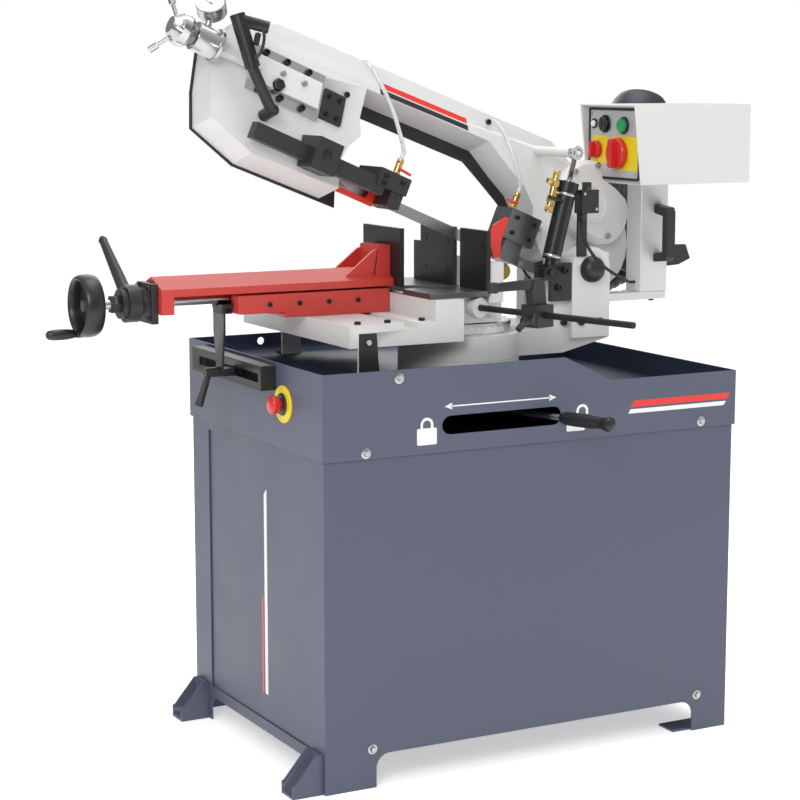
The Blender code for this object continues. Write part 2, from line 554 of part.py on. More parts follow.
def make_cylinder(arm):
    """Feed cylinder: it swings on its lower pin, and its rod runs to the bow."""
    hub = Hub("cylinder_axis", arm, CYL_PIVOT)
    up = Vector((math.sin(CYL_LEAN), 0, math.cos(CYL_LEAN)))
    across = Vector((-math.cos(CYL_LEAN), 0, math.sin(CYL_LEAN)))
    at = CYL_PIVOT
    y0, y1 = 0.1075, 0.1293
    stack = at + across * 0.030
    piece("hydraulic_cylinder", "satin_black", hub, [
        ring((at.x, 0, at.z), (0, 1, 0), 0.0063, 0.014, y0, y1, 20),
        turned([(0, 0.012), (0.0105, 0.012), (0.0105, 0.024), (0.0175, 0.024), (0.0175, 0.154), (0.0195, 0.154),
                (0.0195, 0.172), (0.0056, 0.172), (0.0056, 0.045), (0, 0.045)], at, up, 20),
        rod(stack + up * 0.108, stack + up * 0.186, 0.006, steps=12),
        rod(stack + up * 0.128, stack + up * 0.140, 0.0085, steps=6),
        rod(stack + up * 0.158, stack + up * 0.168, 0.0085, steps=6),
        rod(stack + up * 0.148, stack + up * 0.148 - across * 0.016, 0.004, steps=12)])
    tap = stack + up * 0.134 - Vector((0, 0.0088, 0))
    lever = Hub("flow_valve_axis", hub, tap)
    piece("flow_valve_lever", "satin_black", lever, [
        rod(tap, tap - Vector((0, 0.010, 0)), 0.004, steps=12),
        rod(tap - Vector((0, 0.007, 0)) - across * 0.012, tap - Vector((0, 0.007, 0)) + across * 0.016, 0.0035)])
    eye = at + up * CYL_EYE
    rod_hub = Hub("piston_axis", hub, eye)
    piece("piston_rod", "chrome", rod_hub, [
        rod(at + up * 0.090, eye - up * 0.0105, 0.0053, steps=16),
        ring((eye.x, 0, eye.z), (0, 1, 0), 0.0085, 0.0135, 0.111, 0.125, 20)])


def make_spring(arm):
    """Balance spring: a sleeve that swings on the arm's pin, and the rod that the bow's tail pulls."""
    hub = Hub("spring_axis", arm, SPRING_PIN)
    up = Vector((math.cos(SPRING_RISE), 0, math.sin(SPRING_RISE)))
    at = SPRING_PIN
    y0, y1 = 0.3355, 0.3545
    ribs = []
    profile = [(0.0062, 0.030)]
    for i in range(7):
        start = 0.030 + i * 0.020
        profile += [(0.0135, start), (0.016, start + 0.004), (0.016, start + 0.014)]
    profile += [(0.0135, 0.172), (0.0062, 0.172)]
    ribs.append(turned(profile, at, up, 14))
    piece("balance_spring", "satin_black", hub, ribs + [
        ring((at.x, 0, at.z), (0, 1, 0), 0.0083, 0.015, y0, y1, 20),
        rod(at + up * 0.0105, at + up * 0.036, 0.008)])
    eye = at + up * SPRING_LEN
    rod_hub = Hub("spring_rod_axis", hub, eye)
    piece("spring_rod", "satin_black", rod_hub, [
        rod(at + up * 0.055, eye - up * 0.013, 0.0058, steps=12),
        ring((eye.x, 0, eye.z), (0, 1, 0), 0.0095, 0.0155, 0.337, 0.353, 20)])


# ---------------------------------------------------------------- bow
def bow_outline():
    """The casting in the wheels' plane: idler housing, beam and drive housing in one ring of points."""
    return ([(-0.836, 0.150), (-0.815, 0.178), (-0.790, 0.196), (-0.720, 0.222), (-0.100, 0.2525), (-0.060, 0.2350),
             (-0.036, 0.2200)] + arc((0, LOOP_R), 0.117, 97, -160, 20)
            + [(-0.118, 0.105), (-0.145, 0.136), (-0.185, 0.158), (-0.240, 0.193), (-0.521, 0.181),
               (-0.524, 0.121), (-0.515, 0.086), (-0.535, 0.057), (-0.548, 0.020), (-0.540, -0.031),
               (-0.722, -0.037), (-0.813, -0.005), (-0.828, 0.060)])


def cover_outline():
    return ([(-0.841, 0.150), (-0.819, 0.182), (-0.793, 0.201), (-0.721, 0.2265), (-0.100, 0.257), (-0.060, 0.240)]
            + arc((0, LOOP_R), 0.1205, 115, -160, 22)
            + [(-0.132, 0.098), (-0.162, 0.118), (-0.205, 0.142), (-0.250, 0.166), (-0.500, 0.156),
               (-0.503, 0.100), (-0.520, 0.057), (-0.505, -0.036), (-0.724, -0.042), (-0.818, -0.008),
               (-0.833, 0.058)])


def blade_loop():
    """The blade as a closed band: flat on the wheels, turned upright between the guides."""
    bm = bmesh.new()
    stations = []
    quarter = 36
    for i in range(quarter + 1):
        angle = math.radians(-90 - 180 * i / quarter)
        stations.append((WHEEL_A + LOOP_R * math.cos(angle), LOOP_R + LOOP_R * math.sin(angle), angle, 0.0))
    for i in range(quarter + 1):
        angle = math.radians(90 - 180 * i / quarter)
        stations.append((LOOP_R * math.cos(angle), LOOP_R + LOOP_R * math.sin(angle), angle, 0.0))
    twist_full = math.radians(90) - WHEEL_TILT
    lower = [(-0.02, 0.0), (-0.05, 0.25), (-0.08, 0.55), (-0.11, 0.88), (-0.13, 1.0), (-0.30, 1.0), (-0.44, 1.0),
             (-0.49, 0.92), (-0.55, 0.62), (-0.61, 0.30), (-0.66, 0.08)]
    stations += [(a, 0.0, math.radians(-90), share * twist_full) for a, share in lower]
    rings = []
    for a, b, angle, twist in stations:
        radial = Vector((math.cos(angle), 0, math.sin(angle)))
        along = Vector((-math.sin(angle), 0, math.cos(angle)))
        turn = Matrix.Rotation(-twist, 3, along)
        wide = turn @ Vector((0, 1, 0)) * (BLADE_W / 2)
        thick = turn @ radial * (BLADE_T / 2)
        centre = Vector((a, 0, b))
        rings.append([bm.verts.new(centre + wide * s + thick * t) for s, t in ((1, 1), (-1, 1), (-1, -1), (1, -1))])
    for ring_a, ring_b in zip(rings, rings[1:] + rings[:1]):
        for k in range(4):
            bm.faces.new((ring_a[k], ring_a[(k + 1) % 4], ring_b[(k + 1) % 4], ring_b[k]))
    return closed(bm)


def make_bow(arm):
    bow = Hub("bow_axis", arm, PIVOT, (0, BOW_RAISED, 0))
    plane = Hub("wheel_plane", bow, (0, 0, -BLADE_DROP), (-WHEEL_TILT, 0, 0))
    make_bow_frame(plane)
    make_wheels(plane)
    make_tension(plane)
    make_bow_handle(plane)
    make_tail(bow)
    make_guides(bow)
    return bow


def make_bow_frame(plane):
    """The casting is open at the back; front is -Y here."""
    outline = bow_outline()
    bow_up = Matrix.Rotation(WHEEL_TILT, 3, "X")

    def from_bow(point):
        return bow_up @ (Vector(point) + Vector((0, 0, BLADE_DROP)))

    lug_axis = from_bow((0, 1, 0)) - from_bow((0, 0, 0))
    hinge = from_bow((0, 0, 0))
    boss = from_bow((-0.1290, 0, 0.1850))
    piece("bow_frame", "cast_grey", plane, [
        prism(outline, "Y", -CASTING, CASTING),
        rod(hinge + lug_axis * -0.0415, hinge + lug_axis * -0.0145, 0.030, steps=24),
        rod(boss + lug_axis * 0.0475, boss + lug_axis * -0.0800, 0.009, steps=16),
        rod(boss + lug_axis * -0.070, boss + lug_axis * -0.1040, 0.0045, steps=12),
        block((-0.765, -0.0385, 0.072), (-0.612, -CASTING + 0.001, 0.091)),
        block((-0.765, -0.0385, 0.1442), (-0.612, -CASTING + 0.001, 0.1632)),
    ], [prism(inset(outline, WALL), "Y", -CASTING + 0.007, CASTING + 0.01),
        rod(hinge + lug_axis * -0.06, hinge + lug_axis * -0.022, 0.0126),
        block((-0.135, -0.0335, -0.014), (-0.035, 0.014, 0.014)),
        block((-0.565, -0.0185, -0.026), (-0.515, 0.0185, 0.013)),
        block((-0.745, -0.05, 0.0893), (-0.672, -0.02, 0.1122)),
        rod((0, -0.05, LOOP_R), (0, -0.02, LOOP_R), 0.0125)])
    piece("back_cover", "satin_black", plane, [prism(cover_outline(), "Y", CASTING + GAP, CASTING + 0.0028)],
          [block((0.1165, 0.03, 0.060), (0.13, 0.04, 0.150))])
    piece("gearbox", "cast_grey", plane, [
        turned([(0, CASTING + GAP), (0.085, CASTING + GAP), (0.085, 0.050), (0.074, 0.060), (0, 0.060)],
               (0.010, 0, 0.161), (0, -1, 0), 40)],
        [turned([(0, 0.02), (0.016, 0.02), (0.016, 0.048), (0, 0.048)], (0, 0, LOOP_R), (0, -1, 0), 20),
         prism([(0.0, 0.2500), (0.0160, 0.2105), (0.0484, 0.2045), (0.0935, 0.1845), (0.120, 0.165), (0.16, 0.165),
                (0.16, 0.30), (0.0, 0.30)], "Y", -0.1, -0.02)])
    piece("motor", "motor_navy", plane, [
        rod((MOTOR_A, 0.112, 0.200), (MOTOR_A, 0.112, 0.480), 0.060, steps=24),
        rod((MOTOR_A, 0.112, 0.478), (MOTOR_A, 0.112, 0.528), 0.062, 0.050, steps=24),
        block((0.070, 0.0362, 0.166), (0.105, 0.110, 0.210)),
        block((0.100, 0.062, 0.176), (MOTOR_A - 0.005, 0.110, 0.222)),
        block((MOTOR_A + 0.030, 0.090, 0.270), (MOTOR_A + 0.080, 0.150, 0.360))])


def wheel(name, plane_hub, centre, shaft_low):
    """A cast wheel with a rim, a web and its shaft; shaft_low is how far the shaft goes to the front."""
    profile = [(0, 0.011), (0.022, 0.011), (0.024, 0.004), (0.088, 0.004), (0.089, 0.012), (WHEEL_R, 0.012),
               (WHEEL_R, -0.012), (0.089, -0.012), (0.088, -0.004), (0.024, -0.004), (0.020, -0.012),
               (0.0105, -0.012), (0.0105, shaft_low), (0, shaft_low)]
    return piece(name, "dark_steel", plane_hub,
                 [turned(profile, centre, (0, 1, 0), 32)])


def make_wheels(plane):
    drive = Hub("drive_axis", plane, (0, 0, LOOP_R))
    wheel("drive_wheel", drive, (0, 0, LOOP_R), -0.046)
    as_object("blade", blade_loop(), plane, "blade_steel")


def make_tension(plane):
    """The idler's carriage between its gibs, and the screw unit that pulls it."""
    b, out = 0.1175, -0.050
    carriage = Hub("tension_axis", plane, (WHEEL_A, 0, LOOP_R))
    piece("tension_carriage", "cast_grey", carriage, [
        block((-0.750, -0.046, 0.0915), (-0.618, -CASTING - GAP, 0.1438)),
        block((-0.828, -0.058, b - 0.009), (-0.745, -0.040, b + 0.009))],
        [rod((WHEEL_A, -0.06, LOOP_R), (WHEEL_A, -0.03, LOOP_R), 0.0108)])
    idler = Hub("idler_axis", carriage, (WHEEL_A, 0, LOOP_R))
    wheel("idler_wheel", idler, (WHEEL_A, 0, LOOP_R), -0.042)
    gauge_foot = Vector((-0.862, out, b + 0.024))
    gauge = gauge_foot + Vector((-0.002, -0.004, 0.037))
    facing = Vector((-0.62, -0.72, 0.30)).normalized()
    piece("tension_unit", "bright_steel", plane, [
        turned([(0.0062, -0.8365), (0.030, -0.8365), (0.030, -0.843), (0.026, -0.843), (0.026, -0.884),
                (0.0062, -0.884)], (0, out, b), (1, 0, 0), 32),
        rod(gauge_foot, gauge + Vector((0, 0, -0.018)), 0.006, steps=12),
        turned([(0, -0.012), (0.024, -0.012), (0.026, -0.009), (0.026, 0.010), (0.0235, 0.012), (0, 0.012)],
               gauge, facing, 32)])
    knob_at = Vector((-0.910, out, b))
    knob = Hub("tension_knob_axis", plane, knob_at)
    spokes = []
    for angle in (200, 320, 80):
        turn = math.radians(angle)
        way = Vector((-0.45, math.cos(turn) * 0.893, math.sin(turn) * 0.893))
        spokes.append(rod(knob_at + way * 0.010, knob_at + way * 0.052, 0.0035, steps=10))
        spokes.append(rod(knob_at + way * 0.048, knob_at + way * 0.066, 0.0065, steps=12))
    piece("tension_knob", "chrome", knob, [
        turned([(0, 0.0255), (0.018, 0.0255), (0.030, 0.008), (0.030, -0.006), (0.016, -0.022), (0, -0.022)],
               knob_at, (1, 0, 0), 10),
        rod(knob_at + Vector((0.02, 0, 0)), (-0.8295, out, b), 0.0058)] + spokes)


def make_bow_handle(plane):
    """The pistol grip that pulls the bow down, on a bent tube from a foot on the casting."""
    foot = Vector((-0.715, -CASTING - GAP, 0.040))
    knee = foot + Vector((0, -0.036, 0))
    elbow = Vector((-0.782, -0.080, 0.098))
    top = Vector((-0.822, -0.088, 0.156))
    grip = top - elbow
    tip = top + grip.normalized() * 0.016
    nose = Vector((0.050, -0.020, 0.0))
    piece("grip_handle", "satin_black", plane, [
        rod(foot, knee, 0.011),
        rod(foot + Vector((0, -0.028, 0)), elbow, 0.010),
        rod(knee + (elbow - knee) * 0.9, tip, 0.0135),
        rod(tip - grip.normalized() * 0.010, tip - grip.normalized() * 0.010 + nose, 0.011)])
    at = tip - grip.normalized() * 0.016 + nose * 0.62 + Vector((0, -0.003, -0.012))
    hub = Hub("trigger_axis", plane, at)
    piece("trigger", "satin_black", hub, [
        block(at + Vector((-0.004, -0.004, -0.022)), at + Vector((0.005, 0.004, 0.0)))])


def make_tail(bow):
    """The rear hinge plate of the bow, out to the pin that the balance spring pulls."""
    low, high = 0.0805, 0.092
    plate = ([(-0.022, -0.022)] + [(0.02, -0.028), (0.300, 0.108), (0.322, 0.130), (0.300, 0.152), (0.130, 0.082),
                                   (-0.005, 0.030), (-0.026, 0.015)])
    piece("tail_bracket", "satin_black", bow, [
        prism(plate, "Y", low, high),
        block((0.1173, 0.010, 0.040), (0.145, high, 0.078)),
        rod((0.300, low + 0.002, 0.130), (0.300, 0.152, 0.130), 0.006)],
        [rod((0, 0.07, 0), (0, 0.1, 0), 0.0126)])


def make_guides(bow):
    """Guides, guards, brush and coolant; the left guide slides on its bar along the bow."""
    bar = Hub("guide_axis", bow, (-0.6, -0.0625, -0.0205))
    blade_z = -BLADE_DROP
    left_tap, right_tap = Vector((-0.446, -0.050, 0.0115)), Vector((-0.180, -0.030, 0.0495))
    slot = block((-0.60, -0.0017, blade_z - 0.03), (-0.40, 0.0017, blade_z + BLADE_W / 2 + GAP + 0.0007))
    piece("guide_bar", "satin_black", bar, [
        block((-0.744, -0.0750, -0.0355), (-0.470, -0.0500, -0.0060)),
        block((-0.490, -0.0780, -0.0200), (-0.425, 0.0120, 0.0120)),
        block((-0.452, -0.0700, -0.0475), (-0.426, 0.0120, -0.0150)),
        rod(left_tap, left_tap + Vector((0, 0, 0.031)), 0.006, steps=12)], [slot])
    piece("guide_clamp", "satin_black", bow, [
        block((-0.632, -0.096, -0.044), (-0.583, -0.0405, 0.014)),
        prism([(-0.0410, -0.036), (-0.0410, 0.014), (-0.0186, 0.014), (-0.0368, -0.036)], "X", -0.632, -0.583)],
        [block((-0.70, -0.0753, -0.0358), (-0.50, -0.0497, -0.0057))])
    piece("left_guard", "guard_red", bar, [
        block((-0.600, -0.0165, -0.0540), (-0.4523, -0.0140, -0.0300)),
        block((-0.490, -0.0165, -0.0310), (-0.4523, -0.0140, -0.0203))])
    head_x0, head_x1 = -0.187, -0.1185
    slot_right = block((-0.22, -0.0017, blade_z - 0.03), (-0.10, 0.0017, blade_z + BLADE_W / 2 + GAP + 0.0007))
    piece("right_guide", "dark_steel", bow, [
        block((head_x0, -0.046, -0.008), (head_x1, 0.016, 0.050)),
        block((-0.176, -0.040, -0.047), (-0.136, 0.016, -0.006)),
        prism([(-0.186, 0.028), (-0.186, -0.020), (-0.1745, -0.046), (-0.190, -0.052), (-0.214, -0.020),
               (-0.214, 0.004), (-0.195, 0.028)], "Y", -0.044, -0.041),
        rod(right_tap, right_tap + Vector((0, 0, 0.031)), 0.006, steps=12)], [slot_right])
    brush_at = Vector((-0.150, -0.022, -0.0655))
    brush = Hub("brush_axis", bow, brush_at)
    piece("brush", "bristle", brush, [
        turned([(0, -0.010), (0.007, -0.010), (0.016, -0.006), (0.016, 0.006), (0.007, 0.010), (0, 0.010)],
               brush_at, (0, 1, 0), 20)])
    for name, foot, owner, reach in (("left_tap_lever", left_tap, bar, 0.024),
                                     ("right_tap_lever", right_tap, bow, -0.024)):
        at = foot + Vector((0, -0.0063, 0.0125))
        tap = Hub(f"{name}_axis", owner, at)
        piece(name, "guard_red", tap, [
            rod(at, at + Vector((0, -0.005, 0)), 0.003, steps=10),
            rod(at + Vector((0, -0.0036, 0)), at + Vector((reach, -0.0036, -0.002)), 0.0026, steps=10)])
    hose("left_hose", "clear_hose", bow,
         [(-0.546, 0.0300, 0.190), (-0.546, 0.018, 0.190), (-0.540, 0.003, 0.182), (-0.520, -0.012, 0.160),
          (-0.492, -0.028, 0.128), (-0.466, -0.042, 0.090), (-0.447, -0.050, 0.060),
          (-0.446, -0.050, 0.050), (-0.446, -0.050, 0.0430)], 0.0042)
    hose("right_hose", "clear_hose", bow,
         [(-0.250, 0.0330, 0.195), (-0.250, 0.020, 0.195), (-0.243, 0.004, 0.185), (-0.226, -0.016, 0.160),
          (-0.204, -0.028, 0.128), (-0.184, -0.030, 0.104),
          (-0.180, -0.030, 0.090), (-0.180, -0.030, 0.0810)], 0.0042)


def main():
    for old in list(bpy.data.objects):
        bpy.data.objects.remove(old)
    base = Hub("datum", None, DATUM)
    base.origin = Vector((0, 0, 0))
    make_stand(base)
    make_table(base)
    make_lock_lever(base)
    make_vise(base)
    arm = make_arm(base)
    make_cylinder(arm)
    make_spring(arm)
    make_bow(arm)


main()
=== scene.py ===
"""The looks of the swivel-arm band saw: finishes for every CAD solid, and the small pieces on them."""
import json
import math

import bmesh
import bpy
from mathutils import Matrix, Vector


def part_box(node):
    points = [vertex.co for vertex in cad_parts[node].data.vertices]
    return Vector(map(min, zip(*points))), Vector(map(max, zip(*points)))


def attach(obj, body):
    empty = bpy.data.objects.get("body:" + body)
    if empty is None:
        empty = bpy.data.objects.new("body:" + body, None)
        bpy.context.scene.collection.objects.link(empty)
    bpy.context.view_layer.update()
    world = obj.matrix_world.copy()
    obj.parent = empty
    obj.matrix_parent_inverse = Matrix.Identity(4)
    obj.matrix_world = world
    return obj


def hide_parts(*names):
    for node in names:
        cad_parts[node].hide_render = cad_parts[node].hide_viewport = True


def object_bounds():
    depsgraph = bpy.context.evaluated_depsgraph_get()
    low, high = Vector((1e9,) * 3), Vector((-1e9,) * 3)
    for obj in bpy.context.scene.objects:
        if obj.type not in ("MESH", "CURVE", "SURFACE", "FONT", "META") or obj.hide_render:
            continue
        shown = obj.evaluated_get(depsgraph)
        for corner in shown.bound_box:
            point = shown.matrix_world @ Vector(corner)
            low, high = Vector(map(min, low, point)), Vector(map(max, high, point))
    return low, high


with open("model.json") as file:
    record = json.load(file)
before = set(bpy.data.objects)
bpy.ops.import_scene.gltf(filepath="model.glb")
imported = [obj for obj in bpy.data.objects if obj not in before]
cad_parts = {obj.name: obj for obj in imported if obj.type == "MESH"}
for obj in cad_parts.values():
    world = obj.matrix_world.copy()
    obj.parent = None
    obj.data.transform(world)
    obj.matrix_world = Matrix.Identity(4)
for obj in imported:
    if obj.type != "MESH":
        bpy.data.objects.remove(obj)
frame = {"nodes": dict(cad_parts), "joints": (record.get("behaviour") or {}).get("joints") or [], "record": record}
CAD_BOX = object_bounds()

# ---------------------------------------------------------------- places, all from the frame
JOINTS = {joint["name"]: joint for joint in frame["joints"]}
BODY_OF = {node: body for body, nodes in frame["record"]["behaviour"]["bodies"].items() for node in nodes}
TRAY_LOW, TRAY_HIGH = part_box("drip_tray")
BOW_RAISE, WHEEL_TILT, CYLINDER_LEAN = math.radians(23), math.radians(-20), math.radians(14.72)
BLADE_DROP = 0.033                                # the wheels' plane lies this far below the bow's hinge
MOTOR_AXIS = (0.212, 0.112)                       # in the wheels' plane
SHARP = math.radians(38)                          # a fold between faces that counts as an edge
SKIN, SKIN_BACK = 0.0003, 0.00005                 # how far the face and the back of a decal stand proud
CASTING_FRONT = -0.033                            # front face of the bow's casting, in the wheels' plane
GIB_FRONT = -0.0391                               # front face of the steel strips on it
PANEL_FACE = 0.7461                               # left face of the control panel


def joint_place(name):
    """The frame's place of a joint's axis."""
    return Matrix.Translation(JOINTS[name]["pos_m"])


STAND = Matrix.Translation((TRAY_LOW.x, TRAY_LOW.y, 0))           # near left corner of the tray, on the floor
BOW = joint_place("bow_hinge") @ Matrix.Rotation(BOW_RAISE, 4, "Y")
WHEELS = BOW @ Matrix.Translation((0, 0, -BLADE_DROP)) @ Matrix.Rotation(WHEEL_TILT, 4, "X")
CYLINDER = joint_place("feed_cylinder") @ Matrix.Rotation(CYLINDER_LEAN, 4, "Y")
SWIVEL = joint_place("swivel")


# ---------------------------------------------------------------- finishes
def node_graph(name):
    """A new material, its nodes and its links."""
    made = bpy.data.materials.new(name)
    made.use_nodes = True
    return made, made.node_tree.nodes, made.node_tree.links


def noise(nodes, links, source, scale, detail=3.0, stretch=(1, 1, 1)):
    """A noise value at a place."""
    mapping = nodes.new("ShaderNodeMapping")
    mapping.inputs["Scale"].default_value = stretch
    links.new(source, mapping.inputs["Vector"])
    made = nodes.new("ShaderNodeTexNoise")
    made.inputs["Scale"].default_value = scale
    made.inputs["Detail"].default_value = detail
    links.new(mapping.outputs["Vector"], made.inputs["Vector"])
    return made.outputs["Fac"]


def ranged(nodes, links, source, low, high):
    """A noise value spread over a range."""
    made = nodes.new("ShaderNodeMapRange")
    made.inputs["From Min"].default_value = 0.3
    made.inputs["From Max"].default_value = 0.7
    made.inputs["To Min"].default_value = low
    made.inputs["To Max"].default_value = high
    links.new(source, made.inputs["Value"])
    return made.outputs["Result"]


def blended(nodes, links, factor, first, second):
    """Two colours mixed by a factor."""
    made = nodes.new("ShaderNodeMix")
    made.data_type = "RGBA"
    for socket, value in (("A", first), ("B", second)):
        target = next(s for s in made.inputs if s.name == socket and s.type == "RGBA")
        if hasattr(value, "is_output"):
            links.new(value, target)
        else:
            target.default_value = (*value, 1)
    links.new(factor, made.inputs["Factor"])
    return next(s for s in made.outputs if s.type == "RGBA")


def finish(name, colour, roughness, metallic=0.0, grain=400.0, relief=0.02, mottle=0.06, stretch=(1, 1, 1),
           coat=0.0, regions=()):
    """A surface with mottled colour, uneven gloss and a fine relief. Each region is (low, high, colour)."""
    made, nodes, links = node_graph(name)
    shader = nodes["Principled BSDF"]
    place = nodes.new("ShaderNodeTexCoord").outputs["Object"]
    broad = noise(nodes, links, place, 9.0, 4.0)
    fine = noise(nodes, links, place, grain, 2.0, stretch)
    dark = tuple(c * (1 - mottle) for c in colour)
    light = tuple(min(1.0, c * (1 + mottle)) for c in colour)
    tone = blended(nodes, links, broad, dark, light)
    for low, high, paint in regions:
        tone = blended(nodes, links, inside(nodes, links, place, low, high), tone, paint)
    links.new(tone, shader.inputs["Base Color"])
    mixed = nodes.new("ShaderNodeMath")
    mixed.operation = "MULTIPLY_ADD"
    mixed.inputs[1].default_value = 0.5
    links.new(fine, mixed.inputs[0])
    halved = nodes.new("ShaderNodeMath")
    halved.operation = "MULTIPLY"
    halved.inputs[1].default_value = 0.5
    links.new(broad, halved.inputs[0])
    links.new(halved.outputs[0], mixed.inputs[2])
    links.new(ranged(nodes, links, mixed.outputs[0], roughness - 0.06, roughness + 0.08),
              shader.inputs["Roughness"])
    bump = nodes.new("ShaderNodeBump")
    bump.inputs["Strength"].default_value = 0.6
    bump.inputs["Distance"].default_value = relief * 0.001
    links.new(fine, bump.inputs["Height"])
    links.new(bump.outputs["Normal"], shader.inputs["Normal"])
    shader.inputs["Metallic"].default_value = metallic
    shader.inputs["Coat Weight"].default_value = coat
    shader.inputs["Coat Roughness"].default_value = 0.15
    return made


def inside(nodes, links, place, low, high):
    """1 inside a box, in the row frame, and 0 outside."""
    split = nodes.new("ShaderNodeSeparateXYZ")
    links.new(place, split.inputs[0])
    product = None
    for axis in range(3):
        for operation, limit in (("GREATER_THAN", low[axis]), ("LESS_THAN", high[axis])):
            test = nodes.new("ShaderNodeMath")
            test.operation = operation
            test.inputs[1].default_value = limit
            links.new(split.outputs[axis], test.inputs[0])
            if product is None:
                product = test.outputs[0]
            else:
                both = nodes.new("ShaderNodeMath")
                both.operation = "MULTIPLY"
                links.new(product, both.inputs[0])
                links.new(test.outputs[0], both.inputs[1])
                product = both.outputs[0]
    return product


def make_finishes():
    wall = 0.0015
    # painted shade: the inside of the drip tray is painted a much darker blue, standing in for the shade in its
    # recess
    tray_inside_painted_shade = (TRAY_LOW + Vector((wall, wall, 0.056)), TRAY_HIGH + Vector((-wall, -wall, -0.0005)),
                   (0.022, 0.030, 0.062))
    made = {
        # the drip tray's blue paint, with painted shade inside the tray
        "blue_coat_and_painted_shade": finish("blue_coat_and_painted_shade", (0.085, 0.094, 0.140), 0.42, grain=900, relief=0.05, mottle=0.04,
                            regions=[tray_inside_painted_shade]),
        "blue_panel": finish("blue_panel", (0.078, 0.088, 0.133), 0.42, grain=900, relief=0.05, mottle=0.04),
        "grey_cast": finish("grey_cast", (0.66, 0.66, 0.65), 0.38, grain=260, relief=0.10, mottle=0.03,
                            coat=0.1),
        "grey_sheet": finish("grey_sheet", (0.68, 0.68, 0.67), 0.34, grain=700, relief=0.03, mottle=0.02),
        "red_cast": finish("red_cast", (0.56, 0.045, 0.032), 0.36, grain=230, relief=0.14, mottle=0.08,
                           coat=0.15),
        "red_sheet": finish("red_sheet", (0.74, 0.028, 0.018), 0.33, grain=600, relief=0.03, mottle=0.05,
                            coat=0.2),
        "black_paint": finish("black_paint", (0.018, 0.018, 0.020), 0.42, grain=380, relief=0.08,
                              mottle=0.25),
        "black_plastic": finish("black_plastic", (0.012, 0.012, 0.013), 0.34, grain=1100, relief=0.03,
                                mottle=0.1),
        "black_oxide": finish("black_oxide", (0.030, 0.030, 0.032), 0.36, 0.6, grain=300, relief=0.05,
                              mottle=0.3, stretch=(1, 1, 6)),
        "machined": finish("machined", (0.15, 0.15, 0.155), 0.33, 0.8, grain=120, relief=0.05, mottle=0.2,
                           stretch=(1, 14, 14)),
        "bright_steel": finish("bright_steel", (0.50, 0.50, 0.50), 0.26, 1.0, grain=260, relief=0.03,
                               mottle=0.1, stretch=(12, 1, 12)),
        "blade_steel": finish("blade_steel", (0.34, 0.34, 0.35), 0.30, 1.0, grain=180, relief=0.03,
                              mottle=0.15, stretch=(1, 14, 14)),
        "chrome": finish("chrome", (0.56, 0.56, 0.57), 0.14, 1.0, grain=90, relief=0.005, mottle=0.03),
        "brass": finish("brass", (0.62, 0.42, 0.16), 0.28, 1.0, grain=300, relief=0.03, mottle=0.12),
        "navy_motor": finish("navy_motor", (0.012, 0.014, 0.026), 0.40, grain=260, relief=0.10, mottle=0.2),
        "signal_red": finish("signal_red", (0.60, 0.014, 0.012), 0.30, grain=900, relief=0.02, mottle=0.04,
                             coat=0.3),
        "signal_yellow": finish("signal_yellow", (0.80, 0.62, 0.01), 0.34, grain=900, relief=0.02,
                                mottle=0.03),
        "signal_green": finish("signal_green", (0.01, 0.30, 0.07), 0.30, grain=900, relief=0.02, mottle=0.04),
        "panel_silver": finish("panel_silver", (0.56, 0.57, 0.58), 0.34, 0.5, grain=300, relief=0.02,
                               mottle=0.04, stretch=(1, 1, 12)),
        "white_print": finish("white_print", (0.82, 0.82, 0.82), 0.40, grain=900, relief=0.01, mottle=0.01),
        "rubber": finish("rubber", (0.016, 0.016, 0.017), 0.60, grain=500, relief=0.06, mottle=0.15),
        "bristle": finish("bristle", (0.40, 0.27, 0.03), 0.65, grain=900, relief=0.6, mottle=0.4),
    }
    hose = finish("clear_hose", (0.80, 0.82, 0.82), 0.18, grain=200, relief=0.02, mottle=0.04)
    hose.node_tree.nodes["Principled BSDF"].inputs["Transmission Weight"].default_value = 0.45
    made["clear_hose"] = hose
    return made


FINISH = make_finishes()


# ---------------------------------------------------------------- shapes
def prism(outline, axis, low, high):
    """An outline extruded along an axis; its points are the other two coordinates, in X, Y, Z order."""
    bm = bmesh.new()
    slot = "XYZ".index(axis)
    rings = []
    for level in (low, high):
        rings.append([bm.verts.new([*p[:slot], level, *p[slot:]]) for p in outline])
    bm.faces.new(rings[0])
    bm.faces.new(reversed(rings[1]))
    for i in range(len(outline)):
        j = (i + 1) % len(outline)
        bm.faces.new((rings[0][j], rings[0][i], rings[1][i], rings[1][j]))
    bmesh.ops.recalc_face_normals(bm, faces=bm.faces)
    return bm


def block(low, high):
    return prism([(low[0], low[1]), (high[0], low[1]), (high[0], high[1]), (low[0], high[1])], "Z", low[2],
                 high[2])


def rounded(centre, size, radius, steps=5):
    """A rectangle with round corners, as an outline."""
    points = []
    for i, (sx, sy) in enumerate(((1, 1), (-1, 1), (-1, -1), (1, -1))):
        corner = (centre[0] + sx * (size[0] / 2 - radius), centre[1] + sy * (size[1] / 2 - radius))
        for k in range(steps + 1):
            angle = math.pi / 2 * (i + k / steps)
            points.append((corner[0] + radius * math.cos(angle), corner[1] + radius * math.sin(angle)))
    return points


